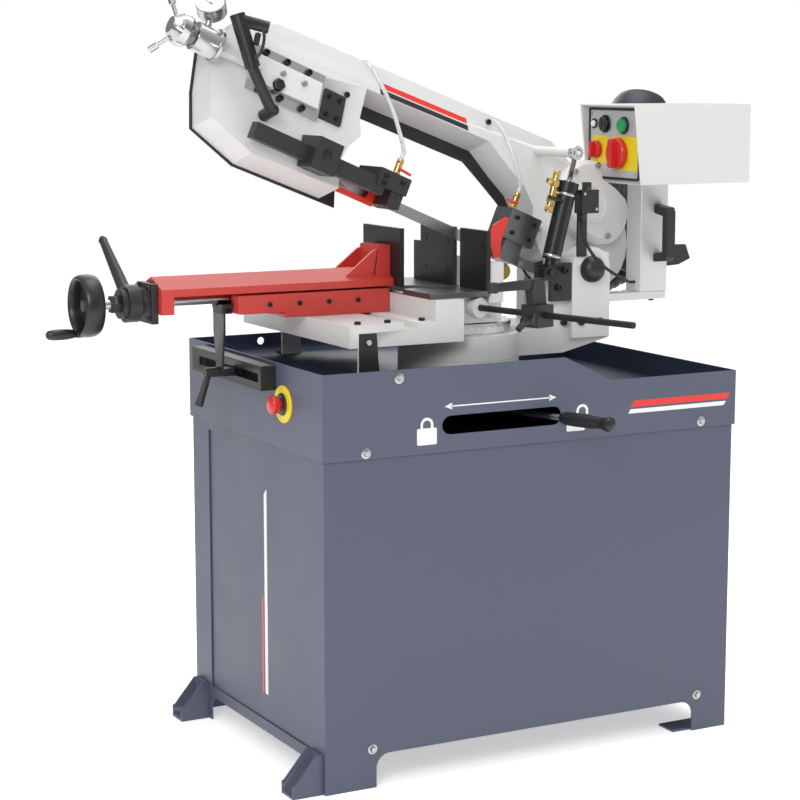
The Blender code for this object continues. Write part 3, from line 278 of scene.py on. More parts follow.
def turned(profile, centre, direction=(0, 0, 1), steps=48):
    """A closed profile of (radius, height) turned about a line; a radius of 0 closes on the line."""
    bm = bmesh.new()
    turn = Vector(direction).to_track_quat("Z", "Y").to_matrix()
    rings = []
    for radius, height in profile:
        count = steps if radius > 0 else 1
        rings.append([bm.verts.new(Vector(centre) + turn @ Vector((radius * math.cos(2 * math.pi * k / steps),
                                                                   radius * math.sin(2 * math.pi * k / steps),
                                                                   height))) for k in range(count)])
    for i, ring in enumerate(rings):
        after = rings[(i + 1) % len(rings)]
        for k in range(steps):
            corners = list(dict.fromkeys((ring[k % len(ring)], ring[(k + 1) % len(ring)],
                                          after[(k + 1) % len(after)], after[k % len(after)])))
            if len(corners) > 2:
                bm.faces.new(corners)
    bmesh.ops.recalc_face_normals(bm, faces=bm.faces)
    return bm


def rod(start, end, radius, end_radius=None, steps=32):
    start, end = Vector(start), Vector(end)
    tip = radius if end_radius is None else end_radius
    length = (end - start).length
    return turned([(0, 0), (radius, 0), (tip, length), (0, length)], start, end - start, steps)


def hexagon(centre, direction, across, height):
    """A hexagon head."""
    return turned([(0, 0), (across / 2, 0), (across / 2, height * 0.8), (across * 0.42, height), (0, height)],
                  centre, direction, 6)


def joined(shapes):
    """Several shapes in one mesh."""
    whole = shapes[0]
    for extra in shapes[1:]:
        mesh = bpy.data.meshes.new("extra")
        extra.to_mesh(mesh)
        whole.from_mesh(mesh)
        bpy.data.meshes.remove(mesh)
        extra.free()
    return whole


# ---------------------------------------------------------------- pieces
def softened(made, bevel, choice="ANGLE"):
    """Rounds the edges a little and shades curved faces smooth. WEIGHT rounds only the marked edges."""
    if bevel:
        modifier = made.modifiers.new("edges", "BEVEL")
        modifier.width = bevel
        modifier.segments = 2
        modifier.limit_method = choice
        modifier.angle_limit = SHARP
        modifier.harden_normals = True
    made.data.shade_smooth()
    made.data.set_sharp_from_angle(angle=SHARP)


def add(name, shapes, finish_name, body, space=STAND, bevel=0.0004, replaces=()):
    bm = joined(shapes) if isinstance(shapes, list) else shapes
    bm.transform(space)
    mesh = bpy.data.meshes.new(name)
    bm.to_mesh(mesh)
    bm.free()
    made = bpy.data.objects.new(name, mesh)
    bpy.context.collection.objects.link(made)
    mesh.materials.append(FINISH[finish_name])
    softened(made, bevel)
    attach(made, body)
    if replaces:
        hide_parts(*replaces)
    return made


def dressed(node, finish_name, bevel=0.0008, smooth=False):
    """A CAD solid with eased edges, in its own finish."""
    mesh = frame["nodes"][node].data.copy()
    bm = bmesh.new()
    bm.from_mesh(mesh)
    bmesh.ops.remove_doubles(bm, verts=bm.verts, dist=1e-5)
    if not smooth:
        bmesh.ops.dissolve_limit(bm, angle_limit=math.radians(0.6), verts=bm.verts, edges=bm.edges)
    weight = bm.edges.layers.float.new("bevel_weight_edge")
    for edge in bm.edges:
        if edge.is_manifold and edge.is_convex and edge.calc_face_angle() > SHARP:
            edge[weight] = 1.0
    bm.to_mesh(mesh)
    bm.free()
    mesh.materials.clear()
    mesh.materials.append(FINISH[finish_name])
    made = bpy.data.objects.new(f"{node}_skin", mesh)
    bpy.context.collection.objects.link(made)
    softened(made, 0 if smooth else bevel, "WEIGHT")
    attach(made, BODY_OF[node])
    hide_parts(node)
    return made


def screws(name, places, direction, body, space=STAND, across=0.011, washer=0.0, finish_name="bright_steel"):
    """Hexagon heads, each on its washer."""
    shapes = []
    away = Vector(direction).normalized()
    for place in places:
        foot = Vector(place)
        if washer:
            shapes.append(turned([(0, 0), (washer, 0), (washer, 0.0012), (washer * 0.9, 0.0016),
                                  (0, 0.0016)], foot,
                                 away))
            foot = foot + away * 0.0014
        shapes.append(hexagon(foot, away, across, across * 0.5))
    return add(name, shapes, finish_name, body, space, 0)


def cap_screws(name, places, direction, body, space, radius=0.0065, height=0.006, finish_name="black_oxide"):
    """Socket heads: a cylinder with a rounded edge and a hollow."""
    shapes = []
    for place in places:
        shapes.append(turned([(0, 0), (radius, 0), (radius, height * 0.85), (radius * 0.9, height),
                              (radius * 0.5, height), (radius * 0.5, height * 0.4), (0, height * 0.4)],
                             place, direction, 24))
    return add(name, shapes, finish_name, body, space, 0)


def dress_everything():
    """Gives every CAD solid that keeps its shape a finish."""
    plans = {
        "blue_coat_and_painted_shade": ("drip_tray", 0.0009), "blue_panel": ("cabinet side_panel", 0.0009),
        "grey_cast": ("turntable_base base_casting swivel_arm bow_frame gearbox tension_carriage", 0.0018),
        "grey_sheet": ("control_box", 0.0012),
        "red_cast": ("vise_bed vise_slide", 0.0018), "red_sheet": ("left_tap_lever right_tap_lever", 0.0004),
        "black_paint": ("rail vise_support rail_clamp_lever vise_drive_housing quick_clamp_lever "
                        "stop_casting cylinder_bracket tail_bracket back_cover guide_bar guide_clamp "
                        "balance_spring spring_rod", 0.0008),
        "black_plastic": ("post_handle limit_switch grip_handle trigger selector_switch", 0.0012),
        "black_oxide": ("front_jaw rear_jaw movable_jaw stop_rod flow_valve_lever hydraulic_cylinder",
                        0.0007),
        "machined": ("table_plate right_guide idler_wheel drive_wheel", 0.0006),
        "bright_steel": ("tension_unit", 0.0006), "blade_steel": ("blade", 0),
        "chrome": ("tension_knob piston_rod",
                                                                                         0.0008),
        "navy_motor": ("motor", 0.0015), "signal_green": ("start_button", 0.0008),
        "panel_silver": ("control_panel", 0), "bristle": ("brush", 0.0006)}
    for finish_name, (nodes, bevel) in plans.items():
        for node in nodes.split():
            dressed(node, finish_name, bevel, smooth=bevel == 0)
    for node, finish_name in (("left_hose", "clear_hose"), ("right_hose", "clear_hose"),
                              ("switch_cable", "rubber")):
        tube = dressed(node, finish_name, smooth=True)
        rounder = tube.modifiers.new("rounder", "SUBSURF")
        rounder.levels = rounder.render_levels = 1


# ---------------------------------------------------------------- stand
def padlock(centre, opened):
    """A padlock sign: body and shackle."""
    x, z = centre
    body = rounded((x, z - 0.010), (0.040, 0.030), 0.003)
    reach, low = 0.013, z + 0.005
    shift = 0.014 if opened else 0.0
    outer = [(x + shift + reach * math.cos(math.radians(a)), low + 0.006 + reach * math.sin(math.radians(a)))
             for a in range(0, 181, 15)]
    inner = [(x + shift + (reach - 0.005) * math.cos(math.radians(a)),
              low + 0.006 + (reach - 0.005) * math.sin(math.radians(a))) for a in range(180, -1, -15)]
    shackle = [(x + shift + reach, low)] + outer + [(x + shift - reach, low),
                                                    (x + shift - reach + 0.005, low)]
    shackle += inner + [(x + shift + reach - 0.005, low)]
    return [prism(body, "Y", -SKIN, -SKIN_BACK), prism(shackle, "Y", -SKIN, -SKIN_BACK)]


def make_stand_details():
    """Signs, stripes and screws of the stand, and its emergency stop."""
    signs = padlock((0.206, 0.642), False) + padlock((0.519, 0.642), True)
    line_z, x0, x1 = 0.683, 0.242, 0.476
    signs.append(prism([(x0 + 0.012, line_z - 0.0012), (x1 - 0.012, line_z - 0.0012),
                        (x1 - 0.012, line_z + 0.0012),
                        (x0 + 0.012, line_z + 0.0012)], "Y", -SKIN, -SKIN_BACK))
    for tip, back in ((x0, 0.015), (x1, -0.015)):
        signs.append(prism([(tip, line_z), (tip + back, line_z + 0.006), (tip + back, line_z - 0.006)],
                           "Y", -SKIN, -SKIN_BACK))
    stripe = [(0.640, 0.648), (0.860, 0.648), (0.855, 0.640), (0.635, 0.640)]
    signs.append(prism(stripe, "Y", -SKIN, -SKIN_BACK))
    add("front_signs", signs, "white_print", "stand", bevel=0)
    add("front_stripe", [prism([(0.648, 0.664), (0.870, 0.664), (0.862, 0.652), (0.640, 0.652)], "Y",
                               -SKIN, -SKIN_BACK)], "red_sheet", "stand", bevel=0)
    panel_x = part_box("side_panel")[0].x - TRAY_LOW.x
    add("side_stripe", [prism([(0.250, 0.12), (0.262, 0.12), (0.262, 0.50), (0.250, 0.512)], "X",
                              panel_x - SKIN, panel_x - SKIN_BACK)], "white_print", "stand", bevel=0)
    add("side_stripe_accent", [prism([(0.268, 0.12), (0.274, 0.12), (0.274, 0.30), (0.268, 0.306)], "X",
                                     panel_x - SKIN, panel_x - SKIN_BACK)], "red_sheet", "stand", bevel=0)
    screws("skirt_screws", [(0.084, 0, 0.612), (0.802, 0, 0.613), (0.150, 0, 0.740)], (0, -1, 0), "stand",
           across=0.0115, washer=0.0095)
    screws("cabinet_screws", [(0.098, 0.004, 0.073), (0.809, 0.004, 0.072)], (0, -1, 0), "stand",
           across=0.012, washer=0.0095)
    screws("back_screws", [(0.084, 0.5925, 0.612), (0.802, 0.5925, 0.613)], (0, 1, 0), "stand", across=0.0115,
           washer=0.0095)
    centre = (0, 0.155, 0.684)
    add("estop_disc", [turned([(0.0205, 0.0001), (0.034, 0.0001), (0.034, 0.0025), (0.033, 0.0038),
                               (0.0205, 0.0038)],
                              centre, (-1, 0, 0), 64)], "signal_yellow", "stand", bevel=0)
    add("estop_collar", [turned([(0.0098, 0.0001), (0.0203, 0.0001), (0.0203, 0.0055), (0.0185, 0.0075),
                                 (0.0098, 0.0075)], centre, (-1, 0, 0), 48)], "black_plastic", "stand",
        bevel=0)
    add("estop_mushroom", [turned([(0, 0.0045), (0.009, 0.0045), (0.009, 0.013), (0.0155, 0.0145),
                                   (0.0165, 0.017),
                                   (0.0165, 0.024), (0.0150, 0.027), (0.011, 0.029), (0.006, 0.0297),
                                   (0, 0.030)],
                                  centre, (-1, 0, 0), 48)], "signal_red", "estop", bevel=0,
        replaces=("estop_button",))


def make_table_details():
    """Table feet, jaw screws, the scale and the arm's caps and screws."""
    plates, heads = [], []
    for cx, face, out in ((0.1275, 0.08, -1), (0.195, 0.54, 1)):
        near = face + out * 0.0051
        y0, y1 = sorted((near, near + out * SKIN))
        plates.append(prism([(cx - 0.0178, 0.8123), (cx + 0.0178, 0.8123), (cx + 0.0243, 0.7174),
                             (cx - 0.0183, 0.7174)],
                            "Y", y0, y1))
        s0, s1 = sorted((near, face + out * 0.0254))
        plates.append(block((cx - 0.0183, s0, 0.7173), (cx + 0.0243, s1, 0.7225)))
        heads += [((cx, near + out * SKIN, 0.796), (0, out, 0)),
                  ((cx + 0.004, face + out * 0.016, 0.7225), (0, 0, 1))]
    add("table_feet", plates, "black_paint", "stand")
    shapes = [hexagon(place, away, 0.012, 0.006) for place, away in heads]
    add("table_feet_bolts", shapes, "bright_steel", "stand", bevel=0)
    cap_screws("jaw_screws", [(0.3850, y, z) for y in (0.118, 0.180, 0.245, 0.330) for z in (0.900, 0.955)],
               (-1, 0, 0), "stand", STAND, 0.0045, 0.0006)
    cap_screws("bed_screws", [(x, y, 0.8263) for x in (0.120, 0.180, 0.250) for y in (0.100, 0.515)],
               (0, 0, 1), "stand", STAND, 0.0060, 0.0050)
    ticks = []
    for i in range(-40, 41):
        angle = math.radians(-90 + i * 2)
        length = 0.007 if i % 5 == 0 else 0.004
        mark = block((0.0982, -0.0002, -length), (0.0986, 0.0002, 0))
        mark.transform(Matrix.Translation((0, 0, 0.0665)) @ Matrix.Rotation(angle, 4, "Z"))
        ticks.append(mark)
    add("scale_band", [turned([(0.0355, 0.0490), (0.0983, 0.0490), (0.0983, 0.0675), (0.0970, 0.0688),
                               (0.0355, 0.0688)], (0, 0, 0), (0, 0, 1), 96)], "bright_steel", "arm", SWIVEL,
        0)
    add("scale_ticks", ticks, "black_paint", "arm", SWIVEL, 0)
    add("hinge_cap", [turned([(0, 0.1057), (0.008, 0.1067), (0.018, 0.1115), (0.0243, 0.1195),
                              (0.0254, 0.1299),
                              (0, 0.1299)], (0.6345, 0, 0.900), (0, 1, 0), 48)], "black_paint", "arm",
        bevel=0)
    bolt = [(0.580, 0.1418, 0.800), (0.655, 0.1295, 0.800), (0.612, 0.1295, 0.800), (0.560, 0.1295, 0.868),
            (0.575, 0.1295, 0.900)]
    cap_screws("arm_screws", bolt, (0, -1, 0), "arm", STAND)
    make_lock_lever()


def make_lock_lever():
    """The lever that locks the swivel, with its turned grip."""
    angle = math.radians(19)
    out = Vector((math.sin(angle), -math.cos(angle), 0))
    centre = Vector((0.3895, 0.2105, 0.649))
    handle = [(0, 0.250), (0.008, 0.250), (0.0105, 0.254), (0.0122, 0.262), (0.0128, 0.285), (0.0122, 0.315),
              (0.0106, 0.338), (0.0104, 0.346), (0.0125, 0.352), (0.0138, 0.358), (0.0125, 0.364),
              (0.007, 0.368), (0, 0.369)]
    add("lock_lever_bar", [turned([(0.0124, -0.008), (0.030, -0.008), (0.030, 0.009), (0.0124, 0.009)],
                                  centre),
                           rod(centre + out * 0.022, centre + out * 0.262, 0.006)], "bright_steel",
        "lock_lever", replaces=("swivel_lock_lever",))
    add("lock_lever_grip", [turned(handle, centre, out)], "black_plastic", "lock_lever", bevel=0)


# ---------------------------------------------------------------- vise
def make_vise_details():
    """Handwheel, screw, crank grip and the vise's screws and ribs."""
    y, z = 0.306, 0.862
    hub = Vector((-0.312, y, z))
    rim = [(0.0425 + 0.0065 * (1 + math.cos(t)) * 1.04, 0.018 * math.sin(t)) for t in
           [2 * math.pi * k / 20 for k in range(20)]]
    wheel = [turned(rim, hub, (1, 0, 0), 72),
             turned([(0, 0.002), (0.045, 0.002), (0.045, 0.007), (0.020, 0.009), (0.014, 0.012),
                     (0.014, 0.028), (0.009, 0.029), (0, 0.029)], hub, (1, 0, 0)),
             turned([(0, -0.008), (0.010, -0.008), (0.013, -0.005), (0.014, 0.003), (0, 0.003)], hub,
                    (1, 0, 0)),
             turned([(0.0055, -0.0215), (0.0075, -0.0215), (0.0075, -0.004), (0.0055, -0.004)],
                    hub + Vector((0, 0, -0.0485)), (1, 0, 0), 24)]
    add("handwheel_rim", wheel, "black_plastic", "wheel", bevel=0.0003, replaces=("handwheel",))
    add("vise_screw", [rod(hub + Vector((0.028, 0, 0)), (0.150, y, z), 0.009)], "bright_steel", "wheel")
    pin = hub + Vector((-0.0005, 0, -0.0485))
    grip = [(0, 0), (0.0039, 0), (0.0039, 0.022), (0.0062, 0.0225), (0.0078, 0.026), (0.0092, 0.036),
            (0.0098, 0.050), (0.0094, 0.062), (0.0078, 0.071), (0.0045, 0.0748), (0, 0.075)]
    add("crank_grip", [turned(grip, pin, (-1, 0, 0))], "black_plastic", "crank", bevel=0,
        replaces=("crank_handle",))
    cap_screws("drive_screws", [(-0.2035, y + s * 0.028, z + t * 0.028) for s in (-1, 1) for t in (-1, 1)],
               (-1, 0, 0), "vise", STAND, 0.0050, 0.0050)
    cap_screws("movable_jaw_screws", [(0.285, y + s * 0.045, 0.955) for s in (-1, 1)], (1, 0, 0), "vise",
               STAND, 0.0045, 0.0006)
    ribs = []
    for side in (-1, 1):
        foot = y + side * 0.036
        y0, y1 = sorted((foot, foot - side * 0.006))
        ribs.append(prism([(0.180, 0.893), (0.245, 0.892), (0.252, 0.944), (0.240, 0.940)], "Y", y0, y1))
    add("jaw_ribs", ribs, "red_cast", "vise", bevel=0.0012)
    cap_screws("gib_screws", [(x, y - 0.051, 0.852) for x in (0.02, 0.08, 0.14, 0.20)], (0, -1, 0),
               "vise_cross", STAND, 0.0045, 0.0030)


# ---------------------------------------------------------------- swivel arm
def rotary(name, node, centre, radius, proud, body, finish_name):
    """A rotary switch's knob, with its grip bar."""
    y, z = centre
    face = PANEL_FACE - 0.0006                    # the switches' axes start here
    knob = turned([(0, -0.012), (0.0068, -0.012), (0.0068, 0.001), (radius, 0.001), (radius, proud * 0.45),
                   (radius * 0.93, proud * 0.55), (0, proud * 0.58)], (face, y, z), (-1, 0, 0), 48)
    bar = prism(rounded((y, z), (radius * 0.46, radius * 1.85), radius * 0.2), "X", face - proud,
                face - proud * 0.5)
    add(name, [knob, bar], finish_name, body, bevel=0.0008, replaces=(node,))


def make_control_details():
    """The control panel's face, plates, knobs and lamp."""
    face = PANEL_FACE
    outer, inner = rounded((0.225, 1.1318), (0.176, 0.139), 0.006), rounded((0.225, 1.1318), (0.166, 0.129),
                                                                            0.004)
    gasket = bmesh.new()
    rings = [[gasket.verts.new((x, *p)) for p in line] for line, x in
             ((outer, face), (outer, face - 0.0014), (inner, face - 0.0014), (inner, face))]
    for first, second in zip(rings, rings[1:] + rings[:1]):
        for i in range(len(first)):
            j = (i + 1) % len(first)
            gasket.faces.new((first[i], first[j], second[j], second[i]))
    bmesh.ops.recalc_face_normals(gasket, faces=gasket.faces)
    add("panel_gasket", gasket, "rubber", "arm", bevel=0)
    add("panel_face", [prism(rounded((0.225, 1.1318), (0.164, 0.127), 0.004), "X", face - 0.0004, face)],
        "panel_silver", "arm", bevel=0)
    add("switch_plates", [
        prism(rounded((0.186, 1.114), (0.094, 0.066), 0.008), "X", face - 0.0008, face - 0.0004),
        prism(rounded((0.271, 1.120), (0.058, 0.054), 0.006), "X", face - 0.0008, face - 0.0004)],
        "signal_yellow", "arm", bevel=0)
    cap_screws("panel_screws", [(face - 0.0004, 0.225 + s * 0.076, 1.1318 + t * 0.057) for s in (-1, 1)
                                for t in (-1, 1)], (-1, 0, 0), "arm", STAND, 0.0030, 0.0020, "bright_steel")
    add("lamp", [turned([(0, 0), (0.0065, 0), (0.0065, 0.004), (0.005, 0.0065), (0, 0.0075)],
                        (face - 0.0004, 0.293, 1.170), (-1, 0, 0))], "white_print", "arm", bevel=0)
    bezels = [turned([(radius, 0), (radius + 0.003, 0), (radius + 0.0028, 0.003), (radius, 0.003)],
                     (face - 0.0004, y, z), (-1, 0, 0)) for y, z, radius in
              ((0.293, 1.170, 0.0067), (0.2547, 1.170, 0.0145), (0.191, 1.168, 0.0138))]
    add("bezels", bezels, "black_plastic", "arm", bevel=0)
    rotary("speed_knob", "speed_switch", (0.281, 1.120), 0.017, 0.020, "speed", "signal_red")
    rotary("main_knob", "main_switch", (0.206, 1.114), 0.030, 0.024, "main", "signal_red")
    cap_screws("post_screws", [(0.787, 0.1313, z) for z in (0.9125, 1.0135)], (0, -1, 0), "arm", STAND,
               0.004, 0.001)
    cap_screws("post_foot_screws", [(0.780, 0.140, 0.850), (0.797, 0.1745, 0.850)], (0, 0, -1), "arm",
               Matrix.Translation((0, 0, -0.014)) @ STAND, 0.005, 0.004)
    cap_screws("limit_switch_screws", [(0.598, 0.100, 1.045), (0.6245, 0.100, 1.016)], (0, -1, 0), "arm",
               STAND, 0.0028, 0.0012, "bright_steel")
    add("cable_gland", [hexagon((0.602, 0.114, 0.998), (0, 0, -1), 0.018, 0.006)], "black_plastic", "arm")


def make_cylinder_details():
    """In the cylinder's own frame: +Z up the tube, and the valve stack at -X."""
    x = -0.030
    add("valve_bodies", [rod((x, 0, 0.1075), (x, 0, 0.187), 0.0064),
                         hexagon((x, 0, 0.110), (0, 0, 1), 0.0185, 0.010),
                         hexagon((x, 0, 0.1275), (0, 0, 1), 0.0195, 0.013),
                         hexagon((x, 0, 0.157), (0, 0, 1), 0.0195, 0.012),
                         hexagon((x, 0, 0.178), (0, 0, 1), 0.0160, 0.008),
                         rod((x, 0, 0.134), (x, -0.0092, 0.134), 0.0050),
                         rod((x, 0, 0.148), (x + 0.014, 0, 0.148), 0.0046),
                         rod((x - 0.002, 0, 0.165), (x - 0.016, 0, 0.165), 0.0040),
                         hexagon((x - 0.008, 0, 0.165), (-1, 0, 0), 0.0120, 0.009)], "brass", "cylinder",
        CYLINDER)
    add("cylinder_bands", [turned([(0.0176, z), (0.0183, z + 0.001), (0.0183, z + 0.004),
                                   (0.0176, z + 0.005)],
                                  (0, 0, 0)) for z in (0.028, 0.146)], "bright_steel", "cylinder", CYLINDER,
        0)
    add("cylinder_seal", [turned([(0.0058, 0.1722), (0.0105, 0.1722), (0.0100, 0.1748), (0.0058, 0.1752)],
                                 (0, 0, 0))], "chrome", "cylinder", CYLINDER, 0)


# ---------------------------------------------------------------- bow
def make_bow_details():
    """In the wheels' plane: X along the bow, -Y to the front, Z across the bow."""
    front = CASTING_FRONT
    add("gib_plates", [prism(rounded((-0.6885, b), (0.153, 0.0195), 0.002), "Y", GIB_FRONT, -0.0385)
                       for b in (0.0815, 0.1537)], "bright_steel", "bow", WHEELS)
    cap_screws("gib_bolts", [(a, GIB_FRONT, b) for a in (-0.738, -0.694, -0.648) for b in (0.0815, 0.1537)],
               (0, -1, 0), "bow", WHEELS, 0.0065, 0.0065)
    screws("carriage_set_screws", [(a, -0.046, 0.1265) for a in (-0.700, -0.655)], (0, -1, 0), "carriage",
           WHEELS, 0.0095, 0.0065, "bright_steel")
    add("idler_axle_nut", [hexagon((-0.705, -0.0462, 0.10075), (0, -1, 0), 0.024, 0.008)], "black_oxide",
        "carriage", WHEELS)
    add("housing_plate", [prism(rounded((-0.585, 0.112), (0.046, 0.060), 0.003), "Y", -0.0385,
                                front - 0.0001)],
        "black_paint", "bow", WHEELS)
    cap_screws("housing_plate_screws", [(-0.597, -0.0385, 0.130), (-0.574, -0.0385, 0.130),
                                        (-0.597, -0.0385, 0.094), (-0.574, -0.0385, 0.094)], (0, -1, 0),
               "bow", WHEELS, 0.0042, 0.004)
    stripe = [(-0.500, 0.205), (-0.300, 0.2155), (-0.296, 0.2060), (-0.496, 0.1955)]
    add("beam_stripe_red", [prism(stripe, "Y", front - SKIN, front - SKIN_BACK)], "red_sheet", "bow",
        WHEELS, 0)
    lower = [(a + 0.006, b - 0.0125) for a, b in stripe]
    add("beam_stripe_black", [prism(lower, "Y", front - SKIN, front - SKIN_BACK)], "black_paint", "bow",
        WHEELS, 0)
    rim = [(0.010 + 0.072 * math.cos(math.radians(a)), -0.0600, 0.161 + 0.072 * math.sin(math.radians(a)))
           for a in (100, 150, 200, 250, 300)]
    cap_screws("gearbox_bolts", rim, (0, -1, 0), "bow", WHEELS, 0.0060, 0.0055, "bright_steel")
    add("gearbox_ribs", [turned([(0.034, -0.0002), (0.040, -0.0002), (0.039, 0.0022), (0.035, 0.0022)],
                                (-0.002, -0.0600, 0.150), (0, -1, 0), 48)], "grey_cast", "bow", WHEELS, 0)
    cap_screws("beam_bolts", [(-0.560, front, 0.150), (-0.250, front, 0.229)], (0, -1, 0), "bow", WHEELS,
               0.0055, 0.0045)
    screws("drive_cover_screws", [(0.102 * math.cos(math.radians(a)), front,
                                   0.10075 + 0.102 * math.sin(math.radians(a)))
                                  for a in (-40, -80, 200)], (0, -1, 0), "bow", WHEELS, 0.009, 0.0065)
    fins = []
    for k in range(28):
        turn = Matrix.Translation((*MOTOR_AXIS, 0)) @ Matrix.Rotation(2 * math.pi * k / 28, 4, "Z")
        fin = block((0.058, -0.0011, 0.240), (0.0625, 0.0011, 0.450))
        fin.transform(turn)
        fins.append(fin)
    add("motor_fins", fins, "navy_motor", "bow", WHEELS, 0.0004)
    add("motor_cowl", [turned([(0.0602, 0.462), (0.0632, 0.464), (0.0636, 0.488), (0.0600, 0.515),
                               (0.0515, 0.5290),
                               (0.0490, 0.5290), (0.0595, 0.510), (0.0602, 0.488)], (*MOTOR_AXIS, 0))],
        "navy_motor", "bow", WHEELS, 0)
    grille = [turned([(r, 0.5282), (r + 0.0022, 0.5282), (r + 0.0022, 0.5296), (r, 0.5296)], (*MOTOR_AXIS, 0))
              for r in (0.010, 0.019, 0.028, 0.037)]
    add("motor_grille", grille, "black_paint", "bow", WHEELS, 0)
    make_gauge()
    make_trigger_guard()
    make_teeth()


def make_gauge():
    """The pressure gauge's dial, divisions, needle and bezel."""
    centre = Vector((-0.864, -0.054, 0.1785))
    facing = Vector((-0.62, -0.72, 0.30)).normalized()
    turn = facing.to_track_quat("Z", "Y").to_matrix().to_4x4()
    space = WHEELS @ Matrix.Translation(centre) @ turn
    add("gauge_dial", [turned([(0, 0.0121), (0.0232, 0.0121), (0.0232, 0.0124), (0, 0.0124)], (0, 0, 0))],
        "white_print", "bow", space, 0)
    marks = []
    for k in range(21):
        mark = block((0.0185 if k % 5 else 0.0165, -0.0003, 0.0124), (0.0215, 0.0003, 0.0126))
        mark.transform(Matrix.Rotation(math.radians(225 - k * 13.5), 4, "Z"))
        marks.append(mark)
    add("gauge_marks", marks, "black_paint", "bow", space, 0)
    needle = prism([(-0.005, -0.0009), (0.017, -0.0002), (0.017, 0.0002), (-0.005, 0.0009)], "Z", 0.0127,
                   0.0131)
    needle.transform(Matrix.Rotation(math.radians(150), 4, "Z"))
    add("gauge_needle", [needle, turned([(0, 0.0127), (0.0022, 0.0127), (0.0022, 0.0136), (0, 0.0136)],
                                        (0, 0, 0))],
        "signal_red", "bow", space, 0)
    add("gauge_bezel", [turned([(0.0228, 0.0100), (0.0262, 0.0090), (0.0264, 0.0130), (0.0250, 0.0146),
                                (0.0232, 0.0140)], (0, 0, 0), (0, 0, 1), 64)], "chrome", "bow", space, 0)


def make_trigger_guard():
    """A loop in front of the trigger, at the top of the pistol grip."""
    low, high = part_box("trigger")
    centre = WHEELS.inverted() @ ((low + high) / 2)
    points = [Vector((0.012 * math.cos(t), -0.004, 0.030 * math.sin(t) - 0.006)) + centre for t in
              [math.radians(a) for a in range(-80, 81, 16)]]
    shapes = [rod(a, b, 0.0028, steps=12) for a, b in zip(points, points[1:])]
    add("trigger_guard", shapes, "black_plastic", "bow", WHEELS, 0)


def make_teeth():
    """Teeth along the straight stretch between the guides, in the bow's own frame."""
    pitch, line = 0.0042, -0.043
    teeth = []
    for k in range(round((0.425 - 0.185) / pitch)):
        x = -0.425 + k * pitch
        lean = 0.0003 if k % 2 else -0.0003
        teeth.append(prism([(x, line + 0.0030), (x + pitch * 0.9, line + 0.0030),
                            (x + pitch * 0.15, line - 0.0003)],
                           "Y", lean - 0.0006, lean + 0.0006))
    add("blade_teeth", teeth, "blade_steel", "bow", BOW, 0)


def make_guide_details():
    """The blade guides' guards, screws and tap bodies."""
    guard = [(-0.600, -0.0540), (-0.4523, -0.0540), (-0.4523, -0.0203), (-0.4640, -0.0203),
             (-0.4700, -0.0435), (-0.600, -0.0435)]
    add("left_guard_strip", [prism(guard, "Y", -0.0165, -0.0140)], "red_sheet", "guide", BOW, 0.0005,
        replaces=("left_guard",))
    front = -0.078
    cap_screws("guide_screws", [(-0.476, front, 0.000), (-0.440, front, 0.000), (-0.476, front, -0.013)],
               (0, -1, 0), "guide", BOW, 0.0042, 0.0045)
    add("clamp_screw", [turned([(0, 0), (0.0095, 0), (0.0095, 0.0015), (0.0062, 0.0020), (0.0062, 0.0010),
                                (0, 0.0010)],
                               (-0.6075, -0.096, -0.012), (0, -1, 0), 32)], "black_oxide", "bow", BOW, 0)
    for name, foot, body in (("left_tap_body", (-0.446, -0.050, 0.0118), "guide"),
                             ("right_tap_body", (-0.180, -0.030, 0.0498), "bow")):
        x, y, z = foot
        add(name, [rod((x, y, z), (x, y, z + 0.031), 0.0064), hexagon((x, y, z), (0, 0, 1), 0.0165, 0.006),
                   hexagon((x, y, z + 0.0225), (0, 0, 1), 0.0150, 0.006)], "brass", body, BOW)
    add("right_guard", [prism([(-0.1862, 0.0283), (-0.1862, -0.0198), (-0.1747, -0.0458), (-0.1902, -0.0523),
                               (-0.2143, -0.0202), (-0.2143, 0.0042), (-0.1952, 0.0283)], "Y", -0.0445,
                              -0.0408)],
        "red_sheet", "bow", BOW)
    cap_screws("right_guide_screws", [(a, -0.046, c) for a in (-0.172, -0.133) for c in (0.006, 0.036)],
               (0, -1, 0), "bow", BOW, 0.0042, 0.0042)


# ---------------------------------------------------------------- surroundings
CAMERA_PLACE = Vector((-1.5615, -3.1931, 1.2679))  # from the tray's near left corner, on the floor
CAMERA_PITCH, CAMERA_YAW, CAMERA_LENS = math.radians(8.8811), math.radians(-28.2187), 94.13


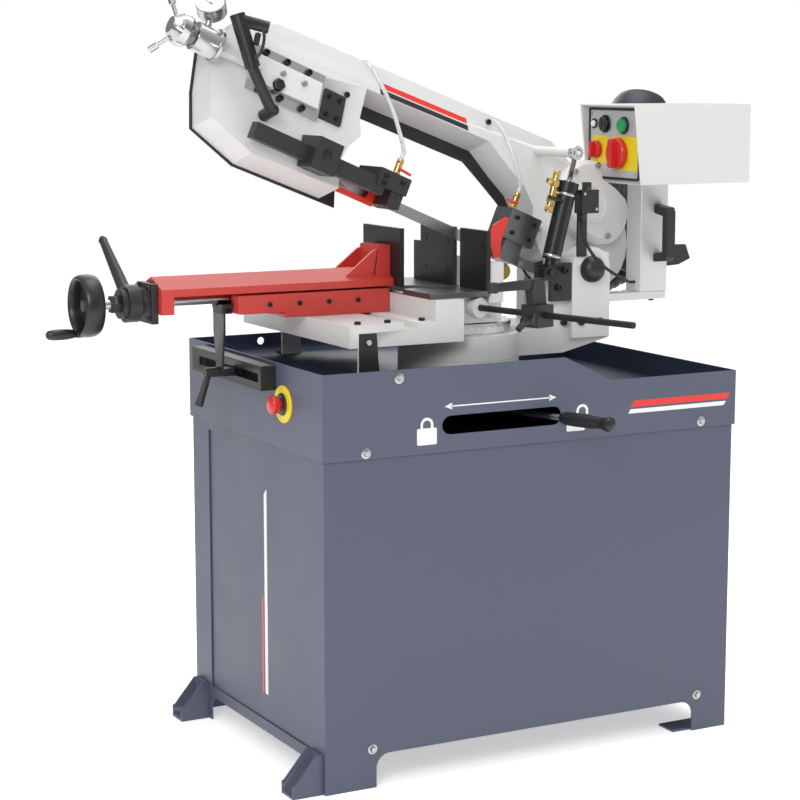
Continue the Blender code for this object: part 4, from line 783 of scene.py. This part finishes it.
def make_studio():
    """Floor, white surroundings, four soft lights and the camera."""
    scene = bpy.context.scene
    centre = (CAD_BOX[0] + CAD_BOX[1]) / 2
    floor = bpy.data.objects.new("floor", bpy.data.meshes.new("floor"))
    bm = block((-9, -9, -0.02), (9, 9, 0))
    bm.to_mesh(floor.data)
    bm.free()
    scene.collection.objects.link(floor)
    pale, nodes, links = node_graph("pale_floor")
    surface = nodes["Principled BSDF"].inputs
    surface["Base Color"].default_value = (0.86, 0.86, 0.86, 1)
    surface["Roughness"].default_value = 0.8
    surface["Emission Color"].default_value = (1, 1, 1, 1)
    surface["Emission Strength"].default_value = 0.52
    floor.data.materials.append(pale)
    scene.world = bpy.data.worlds.new("studio")
    scene.world.use_nodes = True
    world, links = scene.world.node_tree.nodes, scene.world.node_tree.links
    split = world.new("ShaderNodeSeparateXYZ")
    links.new(world.new("ShaderNodeTexCoord").outputs["Generated"], split.inputs[0])
    height = ranged(world, links, split.outputs["Z"], 0.0, 1.0)
    sky = blended(world, links, height, (0.30, 0.30, 0.31), (0.86, 0.86, 0.86))
    seen = world.new("ShaderNodeLightPath").outputs["Is Camera Ray"]
    links.new(blended(world, links, seen, sky, (1, 1, 1)), world["Background"].inputs["Color"])
    for name, place, size, power in (("key", (-2.4, -2.4, 2.6), 1.6, 58), ("top", (0.3, 0.2, 3.4), 2.0, 34),
                                     ("fill", (2.6, -2.4, 1.6), 2.2, 9), ("rim", (1.0, 3.0, 2.4), 2.0, 26)):
        light = bpy.data.lights.new(name, "AREA")
        light.size = size
        light.energy = power
        lamp = bpy.data.objects.new(name, light)
        lamp.location = place
        lamp.rotation_euler = (centre - Vector(place)).to_track_quat("-Z", "Y").to_euler()
        scene.collection.objects.link(lamp)
    camera_data = bpy.data.cameras.new("camera")
    camera_data.lens = CAMERA_LENS
    camera = bpy.data.objects.new("camera", camera_data)
    camera.location = STAND @ CAMERA_PLACE
    camera.rotation_euler = (math.radians(90) - CAMERA_PITCH, 0, CAMERA_YAW)
    scene.collection.objects.link(camera)
    scene.camera = camera
    scene.view_settings.view_transform = "Standard"


make_studio()
dress_everything()
make_stand_details()
make_table_details()
make_vise_details()
make_control_details()
make_cylinder_details()
make_bow_details()
make_guide_details()
